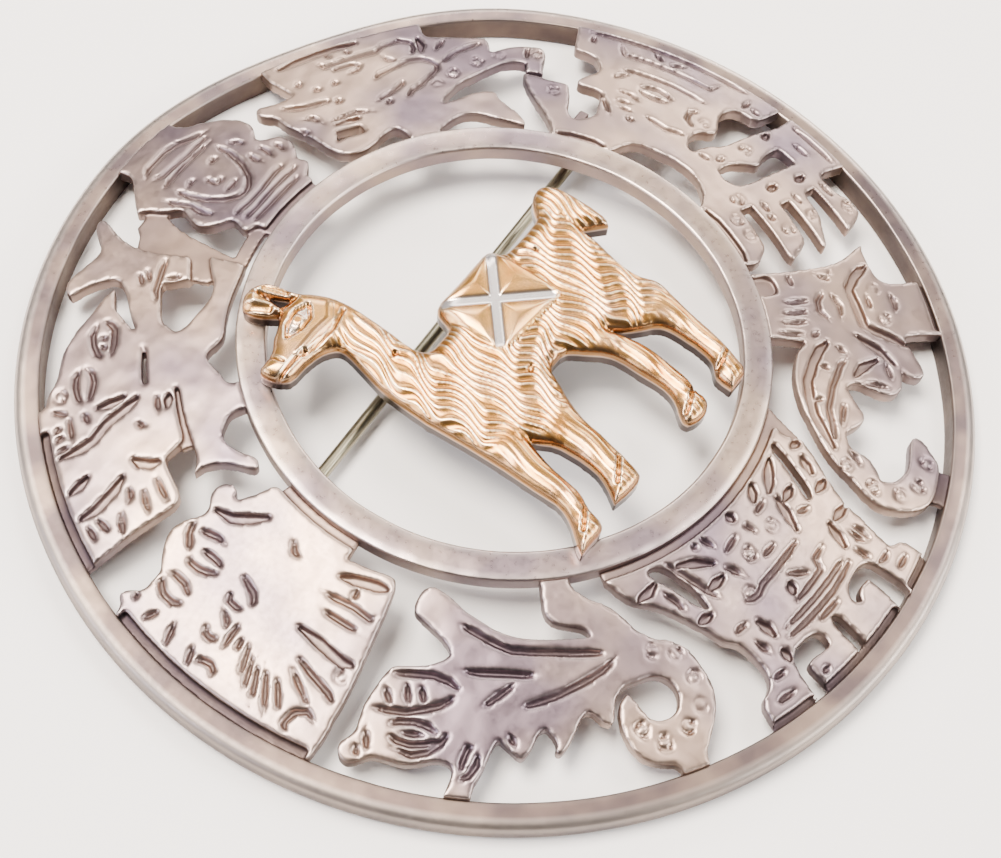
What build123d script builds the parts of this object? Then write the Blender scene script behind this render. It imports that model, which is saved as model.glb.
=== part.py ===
from build123d import *
import math
import os

os.makedirs("parts", exist_ok=True)

# All lengths are millimetres. The front of the brooch faces +Z and its back rests on z = 0.
# The origin is the centre of the round frame, on the plane that the rim rests on.

# Rim
rim_radius = 30.0
rim_width = 1.5
rim_height = 1.8
rim_round = 0.6
flat_depth = 0.95
flat_start = 25.0
flat_middle = 60.0
flat_end = 95.0

# Inner ring
ring_outer_radius = 16.5
ring_inner_radius = 14.7
ring_thickness = 1.2
ring_edge_break = 0.25
ring_proud = 0.1

# Pierced figures between ring and rim
dome_rise = 2.0
plate_edge_rise = 0.3
plate_thickness = 1.0
web_drop = 0.4
web_thickness = 0.5
joint_overlap = 0.35
groove_depth = 0.24
groove_width = 0.36
broad_depth = 0.36
broad_groove = 0.6
groove_taper = 0.3
punch_width = 0.2
dot_radius = 0.24
ring_radius = 0.46
corner_cut = 0.3
corner_share = 0.3
corner_least = 8.0
corner_most = 80.0
ledge_drop = 0.55
arc_step = 4.0

# Animal in the middle
llama_gap = 0.02
llama_thickness = 1.6
fleece_depth = 0.3
fleece_width = 0.3
saddle_rise = 0.25
cross_width = 0.55
cross_depth = 0.35

# Pin, hinge and catch at the back
pin_height = 1.0
pin_line = 4.58
stem_diameter = 0.8
stem_tip = 1.6
tip_diameter = 0.2
hinge_place = 18.2
catch_place = 17.4
knuckle_diameter = 1.3
knuckle_width = 1.0
hinge_clearance = 0.1
rivet_diameter = 0.5
rivet_clearance = 0.05
rivet_seat = 0.01
ear_thickness = 0.7
ear_width = 1.7
ear_bottom = 0.25
catch_width = 1.4
catch_wall = 0.5
catch_clearance = 0.15

# Worked out from the sizes above
rim_inner_radius = rim_radius - rim_width
plate_edge_top = rim_height + plate_edge_rise
ring_top = rim_height + dome_rise
ring_bottom = ring_top - ring_thickness
band_width = rim_inner_radius - ring_outer_radius
plate_fall = ring_top - ring_proud - plate_edge_top


def radius_at(share):
    return ring_outer_radius + share * band_width


def polar_point(degrees, share):
    angle = math.radians(degrees)
    return (radius_at(share) * math.cos(angle), radius_at(share) * math.sin(angle))


def top_at(radius):
    return plate_edge_top + plate_fall * (rim_inner_radius - radius) / band_width


# Tables of the figures: every row is degrees round the frame and share of the way from ring to rim
# Capped face, with the comb-like hand that it holds
CAPPED_FACE = [
    (21.3, 1.03), (21.2, 0.80), (20.8, 0.775), (17.9, 0.755), (17.0, 0.72), (16.1, 0.65),
    (16.4, 0.615), (17.5, 0.575), (18.9, 0.53), (19.3, 0.505), (19.0, 0.47), (15.2, 0.465),
    (14.3, 0.44), (13.9, 0.24), (16.1, 0.19), (17.5, 0.17), (18.4, 0.18), (19.5, 0.22),
    (19.7, 0.33), (20.5, 0.43), (20.9, 0.455), (25.2, 0.465), (26.0, 0.48), (29.05, 0.49),
    (28.8, 0.44), (27.9, 0.36), (26.0, 0.25), (24.1, 0.17), (22.0, 0.06), (21.6, -0.02),
    (8.0, -0.02), (5.0, 0.115), (2.5, 0.155), (-2.0, 0.165), (-5.0, 0.18), (-9.3, 0.175),
    (-12.0, 0.155), (-14.3, 0.12), (-16.8, 0.07), (-18.4, -0.02), (-36.2, -0.02), (-36.6, 0.09),
    (-34.6, 0.14), (-33.2, 0.18), (-28.0, 0.19), (-23.2, 0.20), (-23.2, 0.28), (-36.4, 0.28),
    (-37.3, 0.30), (-36.6, 0.325), (-35.7, 0.34), (-35.3, 0.38), (-34.1, 0.43), (-25.4, 0.44),
    (-25.2, 0.51), (-35.8, 0.51), (-36.0, 0.53), (-35.0, 0.545), (-32.5, 0.575), (-31.0, 0.60),
    (-29.8, 0.62), (-25.9, 0.625), (-25.0, 0.64), (-24.8, 0.71), (-33.8, 0.72), (-33.6, 0.74),
    (-32.1, 0.84), (-31.0, 0.865), (-28.7, 0.855), (-27.5, 0.82), (-24.1, 0.80), (-22.95, 0.83),
    (-23.6, 1.03),
]
CAPPED_FACE_HOLES = [
    [(-11.0, 1.0), (-10.4, 0.87), (-9.8, 0.81), (-6.6, 0.80), (-5.1, 0.73), (-5.4, 0.65),
     (-6.9, 0.57), (-6.8, 0.52), (-4.8, 0.48), (-4.1, 0.43), (-4.3, 0.37), (-5.7, 0.31),
     (-7.0, 0.32), (-7.1, 0.36), (-8.0, 0.42), (-9.8, 0.48), (-10.7, 0.62), (-11.6, 0.73),
     (-12.5, 0.83), (-12.9, 0.89), (-12.9, 1.0)],
    [(-16.0, 0.745), (-19.5, 0.745), (-19.4, 0.65), (-19.0, 0.50), (-18.9, 0.42), (-18.3, 0.32),
     (-16.1, 0.28), (-13.9, 0.295), (-13.0, 0.31), (-13.1, 0.38), (-13.8, 0.43), (-15.5, 0.49),
     (-16.7, 0.535), (-16.1, 0.58), (-15.7, 0.62), (-15.6, 0.70)],
]
CAPPED_FACE_LINES = [
    [(14.7, 0.94), (13.4, 0.836), (6.0, 0.84), (-1.0, 0.836), (-1.8, 0.925)],
    [(9.5, 0.95), (7.5, 0.88)], [(6.7, 0.875), (3.9, 0.93)], [(18.6, 0.93), (18.6, 0.86)],
    [(20.5, 0.965), (7.0, 0.965), (-6.5, 0.965)], [(-13.5, 0.95), (-23.0, 0.95)],
    [(13.0, 0.695), (11.0, 0.71), (4.0, 0.72), (-2.5, 0.705)], [(13.9, 0.605), (11.1, 0.69)],
    [(9.1, 0.595), (7.6, 0.622), (5.8, 0.635), (4.0, 0.622), (2.5, 0.595)],
    [(8.9, 0.58), (7.4, 0.56), (5.8, 0.552), (4.2, 0.56), (2.7, 0.58)],
    [(12.3, 0.51), (9.3, 0.51), (6.8, 0.465)], [(11.8, 0.425), (8.2, 0.44)],
    [(11.1, 0.375), (6.9, 0.38)], [(5.4, 0.385), (0.5, 0.36), (-4.0, 0.40)],
    [(14.8, 0.46), (12.7, 0.36), (10.9, 0.27)],
    [(-2.1, 0.63), (-1.0, 0.575), (-1.4, 0.52), (-3.7, 0.47)], [(-6.8, 0.93), (-6.8, 0.82)],
    [(-7.7, 0.865), (-9.8, 0.86)], [(-16.4, 0.845), (-19.8, 0.845)],
    [(-24.3, 0.77), (-27.7, 0.775)], [(-24.1, 0.56), (-27.0, 0.565)],
    [(-23.2, 0.35), (-26.3, 0.345)], [(-7.0, 0.33), (-11.2, 0.33)], [(-11.8, 0.42), (-11.2, 0.35)],
]
CAPPED_FACE_BROAD = [
    [(20.8, 0.025), (14.0, 0.025), (8.8, 0.025)], [(-19.2, 0.02), (-27.0, 0.02), (-35.6, 0.02)],
    [(-12.6, 0.79), (-13.2, 0.715)], [(-22.1, 0.72), (-22.5, 0.64)], [(-21.5, 0.52), (-21.8, 0.445)],
]
CAPPED_FACE_RINGS = [
    (23.1, 0.372), (-4.2, 0.56), (-13.0, 0.56), (-20.8, 0.235), (-24.9, 0.135), (-29.6, 0.145),
    (-30.7, 0.38), (-30.0, 0.815), (-29.4, 0.575),
]
CAPPED_FACE_DOTS = [(7.3, 0.31), (-27.3, 0.335)]

# Square face joined to the head with open jaws
SQUARE_FACE = [
    (-36.85, 0.745), (-38.2, 0.72), (-40.25, 0.712), (-42.5, 0.72), (-43.9, 0.745),
    (-44.5, 0.80), (-44.5, 1.03), (-53.0, 1.03), (-53.2, 0.87), (-53.6, 0.77), (-54.5, 0.765),
    (-55.2, 0.785), (-57.5, 0.82), (-59.5, 0.848), (-60.3, 0.83), (-60.65, 0.79),
    (-60.4, 0.74), (-59.2, 0.715), (-62.1, 0.715), (-63.2, 0.70), (-64.1, 0.665),
    (-64.5, 0.62), (-63.2, 0.455), (-64.1, 0.405), (-65.3, 0.415), (-67.1, 0.46),
    (-69.3, 0.515), (-70.7, 0.495), (-72.5, 0.44), (-73.4, 0.42), (-75.7, 0.46),
    (-75.8, 0.50), (-76.1, 0.56), (-77.3, 0.61), (-78.4, 0.64), (-78.9, 0.645),
    (-78.75, 0.68), (-78.2, 0.72), (-77.05, 0.745), (-75.7, 0.77), (-73.9, 0.77),
    (-71.6, 0.76), (-70.4, 0.77), (-70.0, 0.80), (-70.7, 0.84), (-72.1, 0.89), (-73.5, 0.935),
    (-78.0, 0.935), (-79.8, 0.91), (-81.1, 0.86), (-82.04, 0.80), (-82.6, 0.75),
    (-82.95, 0.69), (-82.7, 0.64), (-82.04, 0.58), (-80.9, 0.51), (-79.8, 0.43),
    (-78.4, 0.36), (-76.1, 0.29), (-73.9, 0.24), (-71.6, 0.19), (-69.3, 0.155),
    (-67.1, 0.135), (-64.3, 0.12), (-60.3, 0.13), (-57.5, 0.16), (-56.1, 0.21), (-56.0, -0.02),
    (-39.0, -0.02), (-39.1, 0.06), (-39.6, 0.19), (-39.8, 0.29), (-39.8, 0.42), (-39.6, 0.51),
    (-38.9, 0.59), (-37.75, 0.67),
]
SQUARE_FACE_HOLES = [[(-39.9, -0.03), (-39.9, 0.105), (-42.5, 0.125), (-44.9, 0.11), (-44.9, -0.03)]]
SQUARE_FACE_LINES = [
    [(-45.7, 0.755), (-47.7, 0.775), (-50.1, 0.755)], [(-46.1, 0.62), (-49.2, 0.62)],
    [(-40.0, 0.50), (-42.5, 0.43), (-40.3, 0.33)], [(-58.2, 0.63), (-62.0, 0.66)],
    [(-45.0, 0.405), (-48.0, 0.445), (-51.5, 0.43)],
    [(-44.3, 0.39), (-47.0, 0.325), (-49.1, 0.32), (-52.0, 0.385)],
    [(-46.7, 0.30), (-47.2, 0.09)], [(-49.1, 0.31), (-49.8, 0.06)], [(-51.6, 0.25), (-51.9, 0.06)],
    [(-54.6, 0.22), (-54.6, 0.03)], [(-40.3, 0.21), (-43.4, 0.21)], [(-53.6, 0.285), (-55.1, 0.235)],
    [(-63.0, 0.66), (-62.9, 0.56), (-63.3, 0.48)],
    [(-58.0, 0.44), (-60.3, 0.375), (-64.8, 0.33), (-69.3, 0.315), (-73.9, 0.36), (-76.1, 0.385)],
    [(-56.3, 0.35), (-57.9, 0.43)], [(-61.4, 0.32), (-60.9, 0.25)], [(-68.0, 0.29), (-68.8, 0.22)],
    [(-67.1, 0.40), (-69.3, 0.395), (-73.1, 0.40)], [(-75.9, 0.45), (-78.1, 0.545)],
]
SQUARE_FACE_BROAD = [
    [(-40.8, 0.705), (-41.5, 0.65), (-42.5, 0.60), (-44.8, 0.535), (-48.0, 0.54), (-52.0, 0.555),
     (-53.2, 0.62), (-54.1, 0.69), (-55.4, 0.785)],
    [(-59.2, 0.70), (-56.4, 0.60), (-53.6, 0.47)], [(-58.0, 0.60), (-60.0, 0.50), (-62.5, 0.44)],
    [(-55.4, 0.33), (-57.5, 0.27), (-60.3, 0.23), (-64.8, 0.195), (-68.7, 0.215),
     (-71.6, 0.245), (-73.9, 0.30), (-77.0, 0.39)],
]
SQUARE_FACE_RINGS = [
    (-45.2, 0.68), (-50.8, 0.685), (-73.6, 0.862), (-77.5, 0.84), (-79.8, 0.77), (-80.5, 0.625),
    (-79.0, 0.465),
]

# Figure with two staffs
STAFF_BEARER = [
    (-86.1, 1.03), (-85.8, 0.845), (-87.5, 0.815), (-87.4, 0.78), (-86.8, 0.70), (-86.0, 0.62),
    (-85.4, 0.53), (-84.5, 0.48), (-82.7, 0.39), (-80.7, 0.32), (-78.2, 0.225), (-77.7, 0.20),
    (-78.6, 0.15), (-77.6, 0.055), (-117.0, 0.055), (-129.3, 0.055), (-127.8, 0.12),
    (-125.9, 0.19), (-124.4, 0.215), (-122.5, 0.25), (-120.9, 0.29), (-119.3, 0.35),
    (-117.7, 0.42), (-116.6, 0.47), (-115.7, 0.54), (-114.5, 0.57), (-113.8, 0.60),
    (-113.1, 0.70), (-113.1, 0.78), (-114.0, 0.83), (-115.9, 0.86), (-116.1, 1.03),
]
STAFF_BEARER_HOLES = [
    [(-80.8, 0.07), (-82.7, 0.17), (-84.8, 0.27), (-86.6, 0.355), (-88.4, 0.365),
     (-87.5, 0.31), (-86.1, 0.24), (-84.3, 0.16), (-82.8, 0.08)],
    [(-114.6, 0.37), (-114.8, 0.27), (-116.3, 0.16), (-118.2, 0.08), (-120.9, 0.08),
     (-120.7, 0.12), (-119.1, 0.18), (-117.7, 0.24), (-116.8, 0.30), (-115.4, 0.365)],
    [(-94.0, 1.0), (-93.4, 0.87), (-93.4, 0.79), (-95.6, 0.78), (-96.6, 0.83), (-97.3, 0.80),
     (-96.9, 0.75), (-94.8, 0.72), (-92.5, 0.725), (-91.1, 0.76), (-91.0, 0.96), (-91.6, 1.0)],
    [(-100.4, 0.96), (-101.8, 0.96), (-101.7, 0.80), (-101.1, 0.755), (-100.2, 0.78)],
    [(-109.9, 1.0), (-109.6, 0.83), (-108.6, 0.755), (-105.2, 0.75), (-103.8, 0.775),
     (-103.8, 0.83), (-104.4, 0.85), (-107.6, 0.835), (-108.1, 0.86), (-107.8, 1.0)],
]
STAFF_BEARER_LINES = [
    [(-87.0, 0.895), (-90.2, 0.895)], [(-111.1, 0.90), (-114.8, 0.90)],
    [(-105.9, 0.915), (-107.4, 0.915)], [(-97.0, 0.735), (-104.3, 0.735)],
    [(-92.3, 0.67), (-98.0, 0.69), (-108.5, 0.695)], [(-92.3, 0.64), (-97.0, 0.645), (-108.0, 0.655)],
    [(-110.5, 0.80), (-113.4, 0.805)], [(-110.6, 0.53), (-112.5, 0.525), (-114.0, 0.545)],
    [(-90.7, 0.76), (-90.8, 0.66)],
    [(-88.0, 0.58), (-87.9, 0.65), (-88.4, 0.72)], [(-88.9, 0.58), (-89.1, 0.65), (-88.7, 0.71)],
    [(-110.9, 0.72), (-111.4, 0.66), (-111.9, 0.61)],
    [(-92.1, 0.52), (-95.9, 0.53), (-96.8, 0.585), (-104.6, 0.60)],
    [(-97.8, 0.57), (-101.6, 0.46)],
    [(-95.0, 0.41), (-98.2, 0.415), (-105.0, 0.43), (-106.8, 0.455), (-110.1, 0.435)],
    [(-98.2, 0.34), (-102.1, 0.34)], [(-99.1, 0.26), (-99.5, 0.18), (-100.8, 0.17)],
    [(-91.9, 0.165), (-97.5, 0.18)], [(-101.8, 0.175), (-106.8, 0.21)],
    [(-88.9, 0.38), (-91.9, 0.33)], [(-106.1, 0.40), (-107.3, 0.29), (-108.9, 0.24)],
    [(-111.8, 0.38), (-113.2, 0.30), (-115.9, 0.14), (-117.3, 0.08)],
    [(-107.05, 0.16), (-108.4, 0.07)], [(-110.5, 0.12), (-110.0, 0.07)],
    [(-87.5, 0.80), (-89.5, 0.81), (-91.0, 0.79)], [(-118.3, 0.34), (-118.9, 0.27), (-120.4, 0.20)],
]
STAFF_BEARER_BROAD = [
    [(-91.5, 0.63), (-90.6, 0.56), (-89.5, 0.485)], [(-109.0, 0.66), (-109.2, 0.60), (-109.7, 0.54)],
    [(-109.4, 0.79), (-109.4, 0.71)], [(-102.6, 0.57), (-101.6, 0.505)],
    [(-94.1, 0.39), (-92.4, 0.29), (-90.9, 0.20)], [(-84.5, 0.09), (-87.0, 0.115), (-91.4, 0.175)],
    [(-80.9, 0.225), (-82.3, 0.275), (-83.3, 0.32)], [(-78.3, 0.205), (-80.4, 0.165)],
    [(-82.9, 0.39), (-86.1, 0.368)], [(-87.3, 0.25), (-91.0, 0.255)], [(-85.2, 0.53), (-88.9, 0.507)],
    [(-91.6, 0.07), (-94.9, 0.145)], [(-100.5, 0.13), (-100.5, 0.07)],
    [(-109.1, 0.285), (-113.0, 0.30)], [(-108.9, 0.22), (-112.0, 0.16), (-115.7, 0.12)],
    [(-114.7, 0.402), (-117.6, 0.408)], [(-120.2, 0.145), (-122.5, 0.18), (-125.3, 0.20)],
]
STAFF_BEARER_RINGS = [(-96.3, 0.278), (-103.1, 0.285), (-107.7, 0.43)]

# Crested serpent with a coiled tail
CRESTED_SERPENT = [
    (208.4, 1.03), (208.4, 0.95), (209.3, 0.89), (210.5, 0.77), (211.2, 0.73), (211.8, 0.75),
    (213.0, 0.79), (213.8, 0.82), (214.6, 0.80), (215.5, 0.75), (216.1, 0.705), (217.05, 0.68),
    (217.96, 0.72), (218.4, 0.76), (217.96, 0.785), (218.2, 0.805), (218.9, 0.80),
    (220.0, 0.755), (221.1, 0.69), (222.0, 0.645), (222.7, 0.63), (223.4, 0.64),
    (224.8, 0.705), (225.9, 0.70), (226.3, 0.63), (227.4, 0.565), (229.0, 0.545),
    (230.7, 0.545), (232.2, 0.541), (233.7, 0.555), (234.75, 0.593), (235.15, 0.645),
    (234.75, 0.697), (233.7, 0.735), (232.2, 0.749), (230.7, 0.735), (229.9, 0.69),
    (229.3, 0.625), (228.4, 0.585), (227.1, 0.62), (226.5, 0.70), (226.8, 0.80), (227.5, 0.86),
    (228.6, 0.905), (230.2, 0.935), (232.0, 0.955), (232.0, 1.03),
    (235.2, 1.03), (235.2, 0.95), (236.3, 0.90), (237.9, 0.83), (239.05, 0.77), (239.8, 0.69),
    (239.8, 0.62), (239.5, 0.54), (239.05, 0.48), (236.8, 0.405), (235.65, 0.40),
    (234.3, 0.36), (232.9, 0.32), (232.0, 0.26), (230.7, 0.20), (229.3, 0.16), (227.5, 0.135),
    (226.1, 0.10), (224.4, 0.065), (224.0, -0.02), (218.4, -0.02), (218.4, 0.15), (219.3, 0.195),
    (220.9, 0.22), (223.4, 0.24), (225.2, 0.26), (225.7, 0.30), (222.7, 0.29), (215.9, 0.275),
    (212.7, 0.26), (210.0, 0.23), (207.5, 0.195), (204.5, 0.155), (202.5, 0.115),
    (200.2, 0.085), (198.4, 0.075), (197.0, 0.09), (196.35, 0.13), (196.1, 0.18),
    (196.35, 0.21), (197.3, 0.23), (199.3, 0.26), (201.1, 0.29), (202.9, 0.33), (203.6, 0.36),
    (203.2, 0.39), (201.8, 0.42), (200.0, 0.445), (197.5, 0.465), (195.9, 0.48), (195.2, 0.52),
    (194.5, 0.60), (193.9, 0.68), (194.1, 0.82), (193.2, 0.855), (192.8, 0.88), (192.95, 0.92),
    (193.9, 0.955), (194.8, 0.95), (195.9, 0.92), (196.6, 0.895), (197.5, 0.89), (200.7, 0.895),
    (202.2, 0.875), (203.8, 0.85), (205.2, 0.85), (206.1, 0.87), (206.0, 0.91), (205.2, 1.03),
]
CRESTED_SERPENT_LINES = [
    [(204.0, 0.76), (202.5, 0.79), (200.7, 0.805), (199.0, 0.80), (197.8, 0.775)],
    [(204.0, 0.745), (202.5, 0.71), (200.5, 0.70), (198.5, 0.715), (197.6, 0.745)],
    [(202.6, 0.748), (200.8, 0.755), (199.0, 0.765)],
    [(205.2, 0.72), (204.3, 0.77), (202.9, 0.82), (201.1, 0.848), (197.9, 0.83)],
    [(196.3, 0.90), (195.6, 0.83), (195.0, 0.76)], [(195.3, 0.92), (194.6, 0.86)],
    [(208.9, 0.78), (208.7, 0.85), (207.9, 0.90), (206.8, 0.92)],
    [(208.6, 0.775), (207.6, 0.775), (207.1, 0.83), (206.9, 0.90)],
    [(205.9, 0.53), (204.1, 0.495), (201.8, 0.48), (198.4, 0.495), (195.6, 0.52)],
    [(205.9, 0.545), (203.4, 0.61), (201.3, 0.64), (199.3, 0.67), (194.6, 0.69)],
    [(201.6, 0.63), (200.2, 0.52)], [(199.5, 0.65), (198.4, 0.53)],
    [(197.3, 0.66), (195.6, 0.57)], [(214.1, 0.46), (208.2, 0.61)],
    [(216.8, 0.445), (212.0, 0.435), (204.7, 0.44)],
    [(228.8, 0.41), (226.1, 0.46), (222.7, 0.50), (219.3, 0.54), (213.65, 0.59)],
    [(228.4, 0.395), (225.0, 0.37), (219.3, 0.345), (212.7, 0.33), (208.6, 0.28), (203.6, 0.215)],
    [(213.4, 0.77), (212.3, 0.70)],
]
CRESTED_SERPENT_RINGS = [
    (229.0, 0.76), (231.1, 0.845), (234.5, 0.81), (237.1, 0.745), (238.0, 0.62), (237.2, 0.49),
    (234.1, 0.435),
]

# Head with a headdress of rays, in profile with four feathers
RAYED_HEAD = [
    (190.3, 1.03), (190.5, 0.97), (191.1, 0.89), (191.2, 0.79), (191.6, 0.69), (191.8, 0.56),
    (192.0, 0.27), (192.0, 0.15), (191.7, 0.11), (190.9, 0.09), (188.2, 0.095), (184.8, 0.105),
    (182.4, 0.105), (181.7, 0.13), (181.6, 0.055), (172.0, 0.055), (162.5, 0.055), (161.6, 0.065),
    (161.0, 0.10), (160.8, 0.14), (160.2, 0.19), (159.5, 0.24), (158.9, 0.26), (158.4, 0.23),
    (157.5, 0.22), (156.1, 0.23), (155.35, 0.27), (155.5, 0.31), (156.1, 0.34), (157.96, 0.375),
    (158.3, 0.43), (157.5, 0.48), (157.3, 0.53), (157.4, 0.58), (158.2, 0.62), (159.3, 0.66),
    (160.7, 0.70), (161.6, 0.72), (162.0, 0.78), (162.3, 0.82), (162.0, 0.855), (161.25, 0.88),
    (160.9, 0.92), (161.0, 0.94), (162.3, 0.96), (162.7, 1.03),
]
RAYED_HEAD_LINES = [
    [(165.0, 0.93), (165.8, 0.84)], [(162.8, 0.905), (161.9, 0.855)], [(169.6, 0.94), (167.9, 0.81)],
    [(173.15, 0.94), (171.7, 0.83)],
    [(176.1, 0.905), (175.8, 0.87), (175.0, 0.855), (173.8, 0.865), (173.3, 0.895)],
    [(175.0, 0.80), (174.6, 0.70), (174.5, 0.62)], [(176.5, 0.76), (176.0, 0.67)],
    [(174.1, 0.74), (172.9, 0.77), (171.8, 0.765), (170.9, 0.715)],
    [(173.6, 0.70), (172.9, 0.66), (171.1, 0.625)],
    [(174.1, 0.56), (173.9, 0.52), (173.0, 0.49), (171.5, 0.475), (169.1, 0.45)],
    [(173.6, 0.575), (172.6, 0.59), (171.2, 0.59), (170.2, 0.545)],
    [(167.6, 0.73), (166.0, 0.775), (164.3, 0.78), (162.9, 0.755), (162.3, 0.73)],
    [(167.2, 0.705), (165.0, 0.675), (163.2, 0.682), (162.2, 0.705)],
    [(167.6, 0.52), (166.3, 0.56), (164.8, 0.585), (163.2, 0.595), (162.0, 0.575)],
    [(167.2, 0.505), (165.8, 0.498), (163.8, 0.505), (162.2, 0.53)],
    [(161.9, 0.57), (160.9, 0.545), (159.6, 0.52), (158.7, 0.485), (158.6, 0.455)],
    [(165.3, 0.42), (162.7, 0.425), (161.1, 0.45), (159.8, 0.475)],
    [(175.8, 0.235), (173.4, 0.225), (171.1, 0.165)],
    [(187.05, 0.94), (186.1, 0.90), (186.6, 0.84), (187.96, 0.81), (189.8, 0.85)],
    [(190.9, 0.75), (189.3, 0.70), (185.9, 0.65), (182.7, 0.60)], [(188.2, 0.80), (183.0, 0.65)],
    [(191.4, 0.40), (187.5, 0.385), (182.0, 0.368)],
    [(191.4, 0.29), (190.2, 0.32), (187.0, 0.295), (180.7, 0.30)], [(186.3, 0.28), (186.3, 0.21)],
    [(185.2, 0.88), (182.3, 0.72)], [(184.1, 0.94), (180.3, 0.70)], [(182.0, 0.92), (179.2, 0.70)],
    [(180.5, 0.90), (178.2, 0.69)], [(179.0, 0.84), (176.9, 0.66)],
]
RAYED_HEAD_BROAD = [
    [(166.0, 0.175), (163.9, 0.25), (161.6, 0.32), (158.4, 0.358)],
    [(191.0, 0.54), (189.3, 0.55), (187.05, 0.53), (184.8, 0.51), (180.9, 0.49)],
    [(191.2, 0.155), (187.0, 0.17), (182.2, 0.20)],
]
RAYED_HEAD_RINGS = [(190.0, 0.61)]

# Head with plumes and a comb
PLUMED_HEAD = [
    (156.3, 1.03), (155.9, 0.95), (155.6, 0.87), (155.2, 0.78), (154.9, 0.69), (154.7, 0.58),
    (154.6, 0.52), (154.0, 0.475), (153.2, 0.455), (148.2, 0.455), (146.6, 0.45), (146.1, 0.42),
    (145.4, 0.375), (144.7, 0.335), (135.2, 0.325), (134.2, 0.32), (133.3, 0.44),
    (132.9, 0.48), (126.1, 0.475), (124.8, 0.50), (123.2, 0.52), (121.8, 0.56), (120.7, 0.59),
    (119.7, 0.62), (119.05, 0.645), (117.5, 0.655), (115.4, 0.675), (116.3, 0.70),
    (118.6, 0.745), (120.9, 0.78), (121.8, 0.815), (123.65, 0.84), (125.5, 0.875),
    (127.05, 0.885), (129.8, 0.90), (130.9, 0.92), (132.0, 0.95), (133.9, 0.96), (134.1, 1.03),
]
PLUMED_HEAD_LINES = [
    [(140.3, 0.94), (139.9, 0.86)], [(138.8, 0.94), (138.2, 0.88)],
    [(137.6, 0.94), (136.8, 0.88)], [(135.4, 0.85), (134.5, 0.93)], [(139.9, 0.85), (135.5, 0.85)],
    [(134.3, 0.775), (133.0, 0.80), (131.5, 0.81), (130.0, 0.805), (128.6, 0.78)],
    [(134.3, 0.755), (132.8, 0.73), (131.0, 0.715), (129.6, 0.725), (128.5, 0.76)],
    [(127.9, 0.66), (126.6, 0.70), (125.0, 0.725), (123.4, 0.735), (121.3, 0.715)],
    [(127.6, 0.635), (125.0, 0.62), (122.5, 0.625), (121.5, 0.655), (121.1, 0.69)],
    [(125.4, 0.70), (125.6, 0.65)], [(123.9, 0.705), (124.1, 0.65)],
    [(137.5, 0.76), (135.4, 0.775)], [(139.1, 0.545), (140.5, 0.48)],
    [(139.0, 0.42), (135.2, 0.41)], [(155.0, 0.78), (153.2, 0.76), (150.9, 0.73)],
    [(153.9, 0.82), (150.25, 0.86)], [(153.9, 0.90), (150.9, 0.905)],
    [(151.2, 0.70), (149.8, 0.66), (148.3, 0.66)],
    [(154.2, 0.63), (149.3, 0.60)], [(154.2, 0.525), (148.4, 0.525)],
]
PLUMED_HEAD_BROAD = [
    [(141.1, 0.93), (140.7, 0.82), (140.0, 0.755), (137.9, 0.67), (136.1, 0.56), (134.8, 0.50)],
    [(135.3, 0.72), (135.1, 0.64), (134.3, 0.56)], [(146.3, 0.94), (145.7, 0.87), (144.7, 0.81)],
    [(150.0, 0.94), (149.7, 0.84), (148.1, 0.72), (146.6, 0.66)],
    [(144.5, 0.60), (145.8, 0.57), (146.7, 0.52), (146.8, 0.47)],
    [(138.2, 0.375), (136.6, 0.36), (135.3, 0.35)],
]
PLUMED_HEAD_RINGS = [(132.5, 0.885)]

# Dancer below the plumed head
DANCER = [
    (117.0, 0.895), (116.2, 0.935), (114.5, 0.935), (113.4, 0.905), (111.8, 0.87), (110.0, 0.825),
    (108.6, 0.83), (107.3, 0.87), (106.1, 0.905), (105.0, 0.92), (104.1, 0.905), (104.2, 0.875),
    (105.0, 0.83), (106.35, 0.76), (107.3, 0.69), (107.9, 0.60), (107.9, 0.52), (107.6, 0.40),
    (107.4, 0.34), (112.3, 0.295), (112.8, 0.35), (113.5, 0.42), (114.0, 0.44), (118.6, 0.41),
    (121.2, 0.395), (122.5, 0.35), (123.6, 0.31), (122.7, 0.27), (119.7, 0.215), (117.5, 0.18),
    (115.2, 0.16), (112.9, 0.165), (110.7, 0.195), (108.4, 0.225), (106.7, 0.245),
    (106.7, 0.05), (108.4, 0.04), (118.0, 0.06), (125.2, 0.065), (126.6, 0.09), (127.96, 0.135),
    (129.3, 0.155), (130.9, 0.14), (133.9, 0.085), (136.35, 0.07), (136.4, -0.02),
    (143.0, -0.02), (142.9, 0.085), (144.5, 0.12), (146.3, 0.155), (147.9, 0.16),
    (150.0, 0.145), (152.5, 0.095), (153.9, 0.065), (155.2, 0.06), (156.4, 0.08), (156.0, 0.11),
    (154.1, 0.15), (152.3, 0.20), (151.2, 0.26), (150.9, 0.32), (151.5, 0.36), (149.7, 0.32),
    (147.5, 0.305), (145.2, 0.30), (134.2, 0.30), (133.2, 0.44), (132.9, 0.455), (126.3, 0.455),
    (124.8, 0.495), (122.5, 0.52), (120.0, 0.56), (117.9, 0.585), (115.9, 0.61), (114.5, 0.64),
    (113.6, 0.68), (114.1, 0.74), (115.2, 0.82),
]
DANCER_LINES = [
    [(114.7, 0.53), (112.2, 0.57)], [(113.8, 0.50), (111.3, 0.54)],
    [(117.5, 0.435), (115.2, 0.46), (112.6, 0.46), (108.3, 0.465)],
    [(112.8, 0.43), (112.0, 0.34)],
]

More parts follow.
